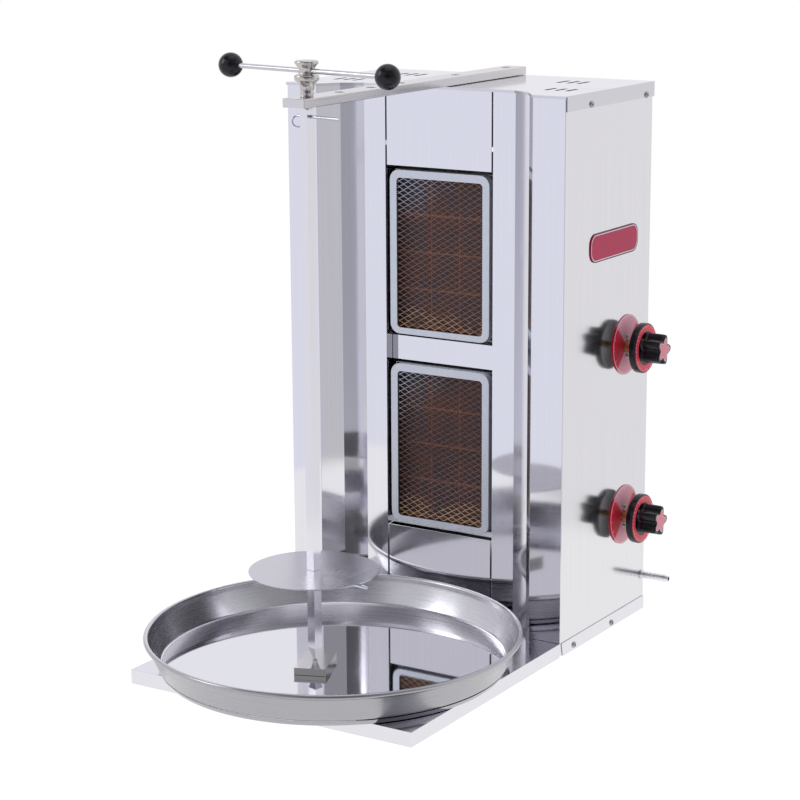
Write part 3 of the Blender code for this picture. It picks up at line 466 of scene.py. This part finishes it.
screw_zinc = sheet_steel("screw_zinc", (300, 300, 300), roughness=0.26, colour=(0.42, 0.41, 0.41))
cover_low, cover_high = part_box("top_cover")
floor_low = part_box("body_floor")[0]
wing_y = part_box("reflector_right")[0].y
screw_spots = []
for x, out in ((cover_low.x, (-1, 0, 0)), (cover_high.x, (1, 0, 0))):
    screw_spots += [(Vector((x, wing_y + 0.064, cover_high.z - 0.0145)), out),
                    (Vector((x, wing_y + 0.213, cover_high.z - 0.0155)), out),
                    (Vector((x, wing_y + 0.035, floor_low.z + 0.0068)), out),
                    (Vector((x, wing_y + 0.139, floor_low.z + 0.0060)), out)]
back_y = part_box("back_panel")[1].y
middle_x = (cover_low.x + cover_high.x) / 2
for across in (-0.15, 0.0, 0.15):
    screw_spots.append((Vector((middle_x + across, cover_high.y, cover_high.z - 0.011)), (0, 1, 0)))
    screw_spots.append((Vector((middle_x + across, back_y, floor_low.z + 0.040)), (0, 1, 0)))
case_screws = add_piece("case_screws", lambda bm: screw_heads(bm, screw_spots), screw_zinc, "casing")

# Gas line: a steel manifold up the back corner, a turned hose nipple outside, brass taps, and copper tubes with a
# brass injector to each burner. Most of it is inside the casing.
def stained(name, clean, stain, roughness, grain):
    """Bare copper alloy, bright in places and brown where hands and heat have been. Also returns its stains."""
    made, tree, shader = start_material(name, clean, 1.0, roughness)
    patches = grain_noise(tree, (grain, grain, grain), 4.0)
    tree.links.new(blend_colours(tree, ramp(tree, patches, 0.4, 0.7), clean, stain), shader.inputs["Base Color"])
    return made, tree, shader, patches


brass, brass_tree, brass_shader, brass_stain = stained("tap_brass", (0.74, 0.55, 0.28), (0.46, 0.31, 0.15), 0.30, 200)
brass_tree.links.new(ramp(brass_tree, brass_stain, 0.3, 0.7, 0.22, 0.42), brass_shader.inputs["Roughness"])
copper = stained("feed_copper", (0.80, 0.44, 0.30), (0.42, 0.22, 0.15), 0.28, 80)[0]
finish_node("gas_manifold", housing_steel)
for which in ("lower", "upper"):
    finish_node("gas_tube_" + which, copper, edge=0)
    for part in ("injector_", "valve_body_", "valve_plug_", "valve_stem_"):
        finish_node(part + which, brass, edge=0.0002)

nipple_low, nipple_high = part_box("hose_nipple")
nipple_middle = (nipple_low + nipple_high) / 2
nipple_length = nipple_high.x - nipple_low.x
NIPPLE_BARBS, BARB_PITCH = 5, 0.0062


def turn_nipple(bm):
    """A flange against the panel, then the barbs, each sharp towards the panel; the end is bored out."""
    profile = [(0, 0), (0.0060, 0), (0.0060, 0.0026), (0.0056, 0.0030), (0.0041, 0.0034)]
    for barb in range(NIPPLE_BARBS):
        foot = 0.0064 + barb * BARB_PITCH
        profile += [(0.0040, foot), (0.0050, foot + 0.0006), (0.0049, foot + 0.0013), (0.0041, foot + 0.0056)]
    profile += [(0.0040, nipple_length - 0.0006), (0.0036, nipple_length), (0.0026, nipple_length),
                (0.0025, nipple_length - 0.012), (0, nipple_length - 0.012)]
    lathe(bm, profile, 40)


nipple_zinc = sheet_steel("nipple_zinc", (250, 900, 900), roughness=0.26, colour=(0.80, 0.82, 0.84))
nipple = add_piece("turned_nipple", turn_nipple, nipple_zinc, "casing", replaces=("hose_nipple",),
                   at=Matrix.Translation((nipple_low.x, nipple_middle.y, nipple_middle.z))
                   @ Matrix.Rotation(math.pi / 2, 4, "Y"))

# Gas controls: a red dial plate with a white border and scale, a black moulded knob with five lobes on a wide
# printed skirt, and a cap with a red star in its end. Two small screws hold the tap to the panel by its brass nose.
GRIP_LOBES, GRIP_RADIUS, GRIP_WAVE = 5, 0.0165, 0.0037
SKIRT_RADIUS, SKIRT_DEEP, SKIRT_PRINT = 0.0320, 0.0090, 0.00008
DIAL_PRINT, DIAL_MARKS, SKIRT_MARKS = 0.00006, 11, 36


def printed_red(name, colour=(0.50, 0.010, 0.075), painted_sheen_centre=None):
    """Red print on foil, a little uneven. Round a given centre, two opposite fans are painted pale pink as painted
    sheen; between them the ink stays deep.
    """
    made, tree, shader = start_material(name, colour, 0.0, 0.36)
    shader.inputs["Specular IOR Level"].default_value = 0.3
    haze = grain_noise(tree, (60, 60, 60), 4.0)
    pale = tuple(min(1, channel * 1.15 + 0.01) for channel in colour)
    ink = blend_colours(tree, ramp(tree, haze, 0.4, 0.75), colour, pale)
    if painted_sheen_centre is not None:
        apart = add_node(tree, "SeparateXYZ")
        tree.links.new(add_node(tree, "TexCoord").outputs["Object"], apart.inputs[0])
        turn = maths(tree, "ARCTAN2", maths(tree, "SUBTRACT", apart.outputs["Z"], painted_sheen_centre.z),
                     maths(tree, "SUBTRACT", painted_sheen_centre.y, apart.outputs["Y"]))
        wave = maths(tree, "COSINE", maths(tree, "MULTIPLY", turn, 2.0))
        # Painted sheen: pale pink fans round the centre, where the foil would show a highlight.
        ink = blend_colours(tree, ramp(tree, wave, -0.25, 0.15, 0.8, 0.0), ink, (0.98, 0.48, 0.60))
    tree.links.new(ink, shader.inputs["Base Color"])
    tree.links.new(ramp(tree, haze, 0.3, 0.7, 0.30, 0.44), shader.inputs["Roughness"])
    return made


def printed_white():
    made, tree, shader = start_material("white_print", (0.86, 0.80, 0.82), 0.1, 0.4)
    wear = grain_noise(tree, (700, 700, 700), 3.0)
    tree.links.new(blend_colours(tree, ramp(tree, wear, 0.45, 0.8), (0.90, 0.84, 0.86), (0.80, 0.60, 0.64)),
                   shader.inputs["Base Color"])
    return made


def moulded_black(name):
    """Glossy phenolic: near black, with faint flow marks and fine handling scratches."""
    made, tree, shader = start_material(name, (0.004, 0.004, 0.009), 0.0, 0.16)
    shader.inputs["Coat Weight"].default_value = 0.05
    shader.inputs["Specular IOR Level"].default_value = 0.34
    shader.inputs["Coat Roughness"].default_value = 0.06
    flow = grain_noise(tree, (35, 35, 35), 3.0)
    scratches = grain_noise(tree, (300, 900, 900), 5.0)
    tree.links.new(blend_colours(tree, ramp(tree, flow, 0.4, 0.7), (0.003, 0.003, 0.007), (0.008, 0.007, 0.012)),
                   shader.inputs["Base Color"])
    tree.links.new(ramp(tree, scratches, 0.4, 0.8, 0.16, 0.30), shader.inputs["Roughness"])
    dent(tree, shader, flow, 0.00004)
    return made


def lobed_ring(bm, radius, wave, x, sides=120):
    """A ring of points round the X axis, drawn out into the grip's lobes."""
    ring = []
    for i in range(sides):
        angle = 2 * math.pi * i / sides
        reach = radius + wave * math.cos(GRIP_LOBES * angle)
        ring.append(bm.verts.new((x, reach * math.cos(angle), reach * math.sin(angle))))
    return ring


def bridge_rings(bm, rings, close_first=True, close_last=True):
    for a, b in zip(rings, rings[1:]):
        for i in range(len(a)):
            bm.faces.new((a[i - 1], a[i], b[i], b[i - 1]))
    if close_first:
        bm.faces.new(rings[0][::-1])
    if close_last:
        bm.faces.new(rings[-1])


def mould_knob(bm, back, face, end):
    skirt = SKIRT_RADIUS
    stations = [(skirt - 0.0060, 0, back + 0.0015), (skirt - 0.0022, 0, back + 0.0002), (skirt - 0.0008, 0, back),
                (skirt - 0.0002, 0, back + 0.0004), (skirt, 0, back + 0.0012), (skirt, 0, face - 0.0014),
                (skirt - 0.0003, 0, face - 0.0006), (skirt - 0.0009, 0, face - 0.0002), (skirt - 0.0016, 0, face),
                (GRIP_RADIUS + 0.0045, 0.0003, face), (GRIP_RADIUS + 0.0012, GRIP_WAVE, face + 0.0004),
                (GRIP_RADIUS + 0.0002, GRIP_WAVE, face + 0.0018), (GRIP_RADIUS, GRIP_WAVE, face + 0.0040),
                (GRIP_RADIUS - 0.0002, GRIP_WAVE, end - 0.0022), (GRIP_RADIUS - 0.0004, GRIP_WAVE, end - 0.0008),
                (GRIP_RADIUS - 0.0007, GRIP_WAVE, end)]
    bridge_rings(bm, [lobed_ring(bm, radius, wave, x) for radius, wave, x in stations])


def mould_cap(bm, low_x, high_x):
    stations = [(GRIP_RADIUS - 0.0008, low_x), (GRIP_RADIUS - 0.0006, low_x + 0.0002),
                (GRIP_RADIUS - 0.0007, high_x - 0.0008), (GRIP_RADIUS - 0.0012, high_x - 0.0003),
                (GRIP_RADIUS - 0.0018, high_x - 0.00012)]
    bridge_rings(bm, [lobed_ring(bm, radius, GRIP_WAVE, x) for radius, x in stations])


def flat_ring(bm, inner, outer, x, thick, start=0.0, sweep=2 * math.pi, sides=96):
    """A thin printed ring, or a piece of one, round the X axis. Angles start at the top and run towards the back."""
    whole = sweep >= 2 * math.pi - 1e-6
    count = sides if whole else max(2, round(sides * sweep / (2 * math.pi)) + 1)
    columns = []
    for i in range(count):
        angle = start + sweep * i / (count if whole else count - 1)
        across, up = math.sin(angle), math.cos(angle)
        columns.append([bm.verts.new((x + dx, radius * across, radius * up))
                        for radius, dx in ((inner, 0), (outer, 0), (outer, thick), (inner, thick))])
    pairs = list(zip(columns, columns[1:])) + ([(columns[-1], columns[0])] if whole else [])
    for a, b in pairs:
        for i in range(4):
            bm.faces.new((a[i - 1], a[i], b[i], b[i - 1]))
    if not whole:
        bm.faces.new(columns[0][::-1])
        bm.faces.new(columns[-1])


def print_dial(bm, x):
    """White border, and a scale open at the foot with a longer mark at both ends and in the middle."""
    flat_ring(bm, 0.0366, 0.0375, x, DIAL_PRINT)
    for i in range(DIAL_MARKS):
        angle = math.radians(-120 + i * 24)
        flat_ring(bm, 0.0334 if i % 5 else 0.0322, 0.0354, x, DIAL_PRINT, angle - 0.011, 0.022)


def print_skirt(bm, x):
    for i in range(SKIRT_MARKS):
        angle = math.radians(i * 10)
        flat_ring(bm, 0.0278 if i % 3 else 0.0264, 0.0298, x, DIAL_PRINT, angle - 0.012, 0.024)


skirt_red = printed_red("skirt_red", (0.88, 0.07, 0.12))
cap_red = printed_red("cap_red", (0.80, 0.26, 0.34))
white_ink = printed_white()
knob_black = moulded_black("knob_black")
for which in ("lower", "upper"):
    knob_low, knob_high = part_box("knob_" + which)
    cap_low, cap_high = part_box("knob_cap_" + which)
    dial_low, dial_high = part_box("dial_plate_" + which)
    axis, dial_centre = (knob_low + knob_high) / 2, (dial_low + dial_high) / 2
    on_axis = Matrix.Translation((0, axis.y, axis.z))
    # The dial's pale fans round the knob's axis are painted sheen.
    finish_node("dial_plate_" + which, printed_red("dial_red_" + which, (0.72, 0.004, 0.045), axis), edge=0.0001)
    skirt_face = knob_low.x + SKIRT_DEEP
    add_piece("dial_print_" + which, lambda bm: print_dial(bm, dial_high.x), white_ink, "casing",
              at=Matrix.Translation((0, dial_centre.y, dial_centre.z)))
    knob = add_piece("moulded_knob_" + which, lambda bm: mould_knob(bm, knob_low.x, skirt_face, knob_high.x),
                     knob_black, "tap_knob_" + which, replaces=("knob_" + which,), at=on_axis)
    add_piece("skirt_ring_" + which,
              lambda bm: flat_ring(bm, GRIP_RADIUS + 0.0052, 0.0302, skirt_face, SKIRT_PRINT),
              skirt_red, "tap_knob_" + which, at=on_axis)
    add_piece("skirt_marks_" + which, lambda bm: print_skirt(bm, skirt_face + SKIRT_PRINT), white_ink,
              "tap_knob_" + which, at=on_axis)
    add_piece("knob_end_" + which, lambda bm: mould_cap(bm, cap_low.x, cap_high.x), knob_black,
              "tap_knob_" + which, replaces=("knob_cap_" + which,), at=on_axis)
    for label, inset, sink, ink in (("cap_line_", 0.0042, 0.00010, white_ink), ("cap_star_", 0.0050, 0.0, cap_red)):
        star = (GRIP_RADIUS - inset, GRIP_WAVE * 0.85)
        add_piece(label + which, lambda bm: bridge_rings(bm, [lobed_ring(bm, *star, x) for x in
                                                              (cap_high.x - 0.0003, cap_high.x - sink)]),
                  ink, "tap_knob_" + which, at=on_axis)
    tap_spots = [(Vector((dial_high.x, axis.y, axis.z + up)), (1, 0, 0)) for up in (0.0125, -0.0125)]
    add_piece("tap_screws_" + which, lambda bm: screw_heads(bm, tap_spots, 0.0030, 0.0016), screw_zinc, "casing")

# Name plate: red printed aluminium with a dark edge and a white line inside it, glued to the side panel. It
# carries no text.
plate_low, plate_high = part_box("name_plate")
PLATE_ROUND = 0.014
finish_node("name_plate", printed_red("plate_red"), edge=0.0001)
dark_ink = start_material("dark_ink", (0.012, 0.014, 0.030), 0.0, 0.35)[0]


def rounded_loop(width, height, radius, per_corner=10):
    points = []
    for quarter, (sx, sy) in enumerate(((1, 1), (-1, 1), (-1, -1), (1, -1))):
        for i in range(per_corner + 1):
            angle = math.pi / 2 * (quarter + i / per_corner)
            points.append((sx * (width / 2 - radius) + radius * math.cos(angle),
                           sy * (height / 2 - radius) + radius * math.sin(angle)))
    return points


def print_plate_line(bm, inset, wide):
    """A printed line that follows the plate's edge, its outer side inset from it."""
    middle, size = (plate_low + plate_high) / 2, plate_high - plate_low
    rings = []
    for step, dx in ((inset, 0), (inset + wide, 0), (inset + wide, DIAL_PRINT), (inset, DIAL_PRINT)):
        loop = rounded_loop(size.y - 2 * step, size.z - 2 * step, PLATE_ROUND - step)
        rings.append([bm.verts.new((plate_high.x + dx, middle.y + y, middle.z + z)) for y, z in loop])
    bridge_rings(bm, rings + rings[:1], False, False)


add_piece("plate_line", lambda bm: print_plate_line(bm, 0.0016, 0.0011), white_ink, "casing")
add_piece("plate_rim", lambda bm: print_plate_line(bm, 0.0001, 0.0015), dark_ink, "casing")

# Drip pan: spun from stainless sheet, so its lines run round it, with the rim rolled over a wire. It stands on
# the tray by a foot ring under its edge, and pulls forward.
pan_low, pan_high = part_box("drip_pan")
pan_middle = (pan_low + pan_high) / 2
PAN_SHEET, PAN_BEAD, PAN_BASE, PAN_STEPS = 0.0012, 0.0030, 0.2115, 144
# Outside this cone the pan's colour is darkened: painted shade on the outer wall.
WALL_CONE = (0.19865, 0.454)      # between the wall's two faces: radius at height 0, and slope


def spun_steel(name, middle, roughness, streak, colour=MIRROR_STEEL, pitch=900, flat=None, outside=None):
    """Stainless with fine rings round an upright axis, as spinning or turning leaves them. Below the height
    flat it keeps the mirror of the sheet it was made from. Outside the cone whose radius at height 0 and slope
    are given its colour is darkened to 0.62 of its own: painted shade."""
    made, tree, shader = start_material(name, colour, 1.0, roughness)
    place = add_node(tree, "TexCoord").outputs["Object"]
    moved = add_node(tree, "VectorMath", operation="SUBTRACT")
    moved.inputs[1].default_value = middle
    tree.links.new(place, moved.inputs[0])
    apart = add_node(tree, "SeparateXYZ")
    tree.links.new(moved.outputs[0], apart.inputs[0])
    x_squared, y_squared = (maths(tree, "POWER", maths(tree, "ABSOLUTE", apart.outputs[way]), 2) for way in "XY")
    reach = maths(tree, "SQRT", maths(tree, "ADD", x_squared, y_squared))
    turn = maths(tree, "ARCTAN2", apart.outputs["Y"], apart.outputs["X"])
    rings = add_node(tree, "CombineXYZ")
    tree.links.new(maths(tree, "MULTIPLY", reach, pitch), rings.inputs["X"])
    tree.links.new(maths(tree, "MULTIPLY", maths(tree, "SINE", turn), 1.5), rings.inputs["Y"])
    tree.links.new(maths(tree, "ADD", maths(tree, "MULTIPLY", apart.outputs["Z"], pitch),
                         maths(tree, "COSINE", turn)), rings.inputs["Z"])
    lines = add_node(tree, "TexNoise", Scale=1.0, Detail=4.0, Roughness=0.6)
    tree.links.new(rings.outputs[0], lines.inputs["Vector"])
    smudges = grain_noise(tree, (11, 11, 11), 3.0)
    spun = lines.outputs[0]
    rough = maths(tree, "ADD", ramp(tree, spun, 0.3, 0.7, roughness - streak / 2, roughness + streak / 2),
                  ramp(tree, smudges, 0.5, 0.75, 0.0, 0.05))
    shader.inputs["Anisotropic"].default_value = 0.75
    shader.inputs["Anisotropic Rotation"].default_value = 0.25
    round_axis = add_node(tree, "Tangent", direction_type="RADIAL", axis="Z")
    tree.links.new(round_axis.outputs[0], shader.inputs["Tangent"])
    ringed = ramp(tree, spun, 0.3, 0.7)
    if flat is not None:
        worked = ramp(tree, apart.outputs["Z"], flat, flat + 0.0010)
        rough = maths(tree, "MULTIPLY", rough, maths(tree, "MAXIMUM", worked, 0.14))
        spun = maths(tree, "MULTIPLY", spun, worked)
        sheet = blend_colours(tree, worked, MIRROR_STEEL, colour)
        ringed = maths(tree, "MAXIMUM", ringed, maths(tree, "SUBTRACT", 1.0, worked))
    else:
        sheet = colour
    tree.links.new(maths(tree, "MAXIMUM", rough, 0.02), shader.inputs["Roughness"])
    dull = tuple(channel * 0.88 for channel in colour)
    finish = blend_colours(tree, ringed, dull, sheet)
    # Painted shade: outside the cone the colour is darkened to 0.62 of its own.
    if outside is not None:
        cone = maths(tree, "MULTIPLY_ADD", apart.outputs["Z"], outside[1], outside[0])
        painted_shade_outside = ramp(tree, maths(tree, "SUBTRACT", reach, cone), -0.0003, 0.0003)
        finish = blend_colours(tree, painted_shade_outside, finish, tuple(channel * 0.62 for channel in colour))
    tree.links.new(finish, shader.inputs["Base Color"])
    dent(tree, shader, spun, 0.00001)
    return made


def spin_pan(bm):
    """From the floor's middle up the inside, round the rolled rim, and back under the floor."""
    rim = (pan_high.x - pan_low.x) / 2
    bead_x, bead_z = rim - PAN_BEAD, pan_high.z - PAN_BEAD
    bottom, wall_in = pan_low.z, rim - 2 * PAN_BEAD
    floor = bottom + PAN_SHEET
    bead = [(bead_x + PAN_BEAD * math.cos(a), bead_z + PAN_BEAD * math.sin(a))
            for a in (math.radians(180 - 22 * i) for i in range(13))]
    inside = [(0, floor), (0.05, floor), (0.12, floor), (PAN_BASE - 0.0042, floor), (PAN_BASE - 0.0034, floor),
              (PAN_BASE - 0.0014, floor + 0.0004), (PAN_BASE - 0.0003, floor + 0.0014),
              (PAN_BASE + 0.0006, floor + 0.0030), (wall_in - 0.0006, bead_z - 0.0060),
              (wall_in - 0.0001, bead_z - 0.0030)]
    outside = [(wall_in + 0.0012, bead_z - 0.0050), (PAN_BASE + 0.0022, bottom + 0.0040),
               (PAN_BASE + 0.0012, bottom + 0.0018), (PAN_BASE - 0.0002, bottom + 0.0005),
               (PAN_BASE - 0.0022, bottom), (0.12, bottom), (0, bottom)]
    profile = inside + bead + outside
    lathe(bm, profile, PAN_STEPS)


pan_steel = spun_steel("pan_steel", (pan_middle.x, pan_middle.y, 0), 0.24, 0.10, (0.68, 0.675, 0.715),
                       flat=pan_low.z + PAN_SHEET + 0.0004, outside=WALL_CONE)
spun_pan = add_piece("spun_pan", spin_pan, pan_steel, "pan", replaces=("drip_pan",), smooth_angle=50,
                     at=Matrix.Translation((pan_middle.x, pan_middle.y, 0)))
ring_low, ring_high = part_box("pan_ring")


def turn_ring(bm):
    """The foot ring carries the wall's slant on down to the tray and turns in at its foot."""
    outer, foot, head = (ring_high.x - ring_low.x) / 2, ring_low.z, ring_high.z
    profile = [(outer + 0.0022, head), (outer, foot + 0.0024), (outer - 0.0012, foot + 0.0009),
               (outer - 0.0032, foot + 0.0001), (outer - 0.0060, foot), (outer - 0.0060, foot + 0.0010),
               (outer - 0.0014, foot + 0.0026), (outer + 0.0006, head), (outer + 0.0022, head)]
    lathe(bm, profile, PAN_STEPS)


foot_ring = add_piece("turned_ring", turn_ring, pan_steel, "pan", replaces=("pan_ring",), smooth_angle=50,
                      at=Matrix.Translation((pan_middle.x, pan_middle.y, 0)))

# Foot block, spit and pins: the square bar is ground stainless, its point stands on the block on the pan's
# floor. A cross pin with a pull ring locks it under the arm, and a longer one carries the meat disc.
bar_steel = sheet_steel("bar_steel", (900, 900, 12), roughness=0.12, streak=0.06, ripple=0.0)
pin_steel = sheet_steel("pin_steel", (400, 400, 400), roughness=0.22, ripple=0.0, colour=(0.52, 0.55, 0.62))
block_steel = sheet_steel("block_steel", (30, 700, 700), roughness=0.10, streak=0.06, ripple=0.0,
                          colour=(0.80, 0.785, 0.77))
finish_node("foot_block", block_steel, edge=0.0005)
finish_node("spit_rod", bar_steel, edge=0.0006)
finish_node("top_lock_pin", pin_steel, edge=0)
finish_node("disc_pin", pin_steel, edge=0.0002)

# Meat disc: 1.5 mm stainless with a fine straight grind, a square hole on the bar.
disc_steel = sheet_steel("disc_steel", (1600, 25, 1600), roughness=0.24, streak=0.06, ripple=0.0001,
                         colour=(0.60, 0.59, 0.64), scratch=0.000003)
finish_node("meat_disc", disc_steel, edge=0.0003)

# Support arm: cold-drawn flat bar, satin, with the row of spit holes and two counterbored bolts into the casing.
arm_steel = sheet_steel("arm_steel", (900, 10, 900), roughness=0.28, streak=0.10, ripple=0.0,
                        colour=(0.70, 0.68, 0.68))
finish_node("support_arm", arm_steel, edge=0.0003)
for where in ("front", "rear"):
    finish_node("arm_bolt_" + where, pin_steel, edge=0.0003)

# Hub and cross handle: the hub is turned steel with bright nickel, the rod is chromed, and the balls are glossy
# phenolic screwed on to its ends.
hub_low, hub_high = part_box("hub")
hub_middle = (hub_low + hub_high) / 2
ball_left = sum(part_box("handle_ball_left"), Vector()) / 2
ball_right = sum(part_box("handle_ball_right"), Vector()) / 2
ball_radius = (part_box("handle_ball_left")[1].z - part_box("handle_ball_left")[0].z) / 2
rod_radius = (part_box("handle_rod")[1].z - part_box("handle_rod")[0].z) / 2


def turn_hub(bm):
    """Profile from the domed top down to the foot; distances are from the top."""
    top = hub_high.z
    steps = [(0, 0), (0.0070, 0.0002), (0.0118, 0.0007), (0.0131, 0.0012), (0.0136, 0.0020), (0.0137, 0.0030),
             (0.0135, 0.0042), (0.0128, 0.0050), (0.0116, 0.0066), (0.0104, 0.0082), (0.0095, 0.0098),
             (0.0090, 0.0115), (0.0089, 0.0150), (0.0093, 0.0158), (0.0100, 0.0163), (0.0104, 0.0168),
             (0.0128, 0.0170), (0.0139, 0.0174), (0.0143, 0.0184), (0.0143, 0.0222), (0.0139, 0.0231),
             (0.0126, 0.0240), (0.0108, 0.0262), (0.0092, 0.0284), (0.0087, 0.0300), (0.0084, 0.0322),
             (0.0083, 0.0334), (0.0078, 0.0337), (0.0076, 0.0343), (0.0078, 0.0348), (0.0077, 0.0400),
             (0.0075, top - hub_low.z), (0, top - hub_low.z)]
    lathe(bm, [(radius, top - down) for radius, down in steps], 72)


def turn_rod(bm):
    half = (ball_right - ball_left).length / 2 - ball_radius * 0.45
    lathe(bm, [(0, half), (rod_radius, half), (rod_radius, -half), (0, -half)], 40)


def turn_ball(bm):
    """A ball with a small flat where the rod goes in."""
    flat = 0.0052
    start = math.asin(flat / ball_radius)
    angles = [start + (math.pi - start) * i / 30 for i in range(31)]
    profile = [(0, ball_radius * math.cos(start))]
    profile += [(max(ball_radius * math.sin(a), 0), ball_radius * math.cos(a)) for a in angles[:-1]]
    lathe(bm, profile + [(0, -ball_radius)], 56)


hub_nickel = spun_steel("hub_nickel", (hub_middle.x, hub_middle.y, 0), 0.12, 0.06, (0.62, 0.585, 0.56), 1500)
rod_chrome = sheet_steel("rod_chrome", (60, 60, 900), roughness=0.16, ripple=0.0, colour=(0.60, 0.61, 0.64))
ball_black = moulded_black("ball_black")
along = (ball_right - ball_left).to_track_quat("Z", "Y").to_matrix().to_4x4()
turned_hub = add_piece("turned_hub", turn_hub, hub_nickel, "spit", replaces=("hub",), smooth_angle=50,
                       at=Matrix.Translation((hub_middle.x, hub_middle.y, 0)))
turned_rod = add_piece("turned_rod", turn_rod, rod_chrome, "spit", replaces=("handle_rod",),
                       at=Matrix.Translation((ball_left + ball_right) / 2) @ along)
for which, centre, half_turn in (("left", ball_left, 0), ("right", ball_right, math.pi)):
    ball = add_piece("turned_ball_" + which, turn_ball, ball_black, "spit", replaces=("handle_ball_" + which,),
                     at=Matrix.Translation(centre) @ along @ Matrix.Rotation(half_turn, 4, "X"), smooth_angle=60)
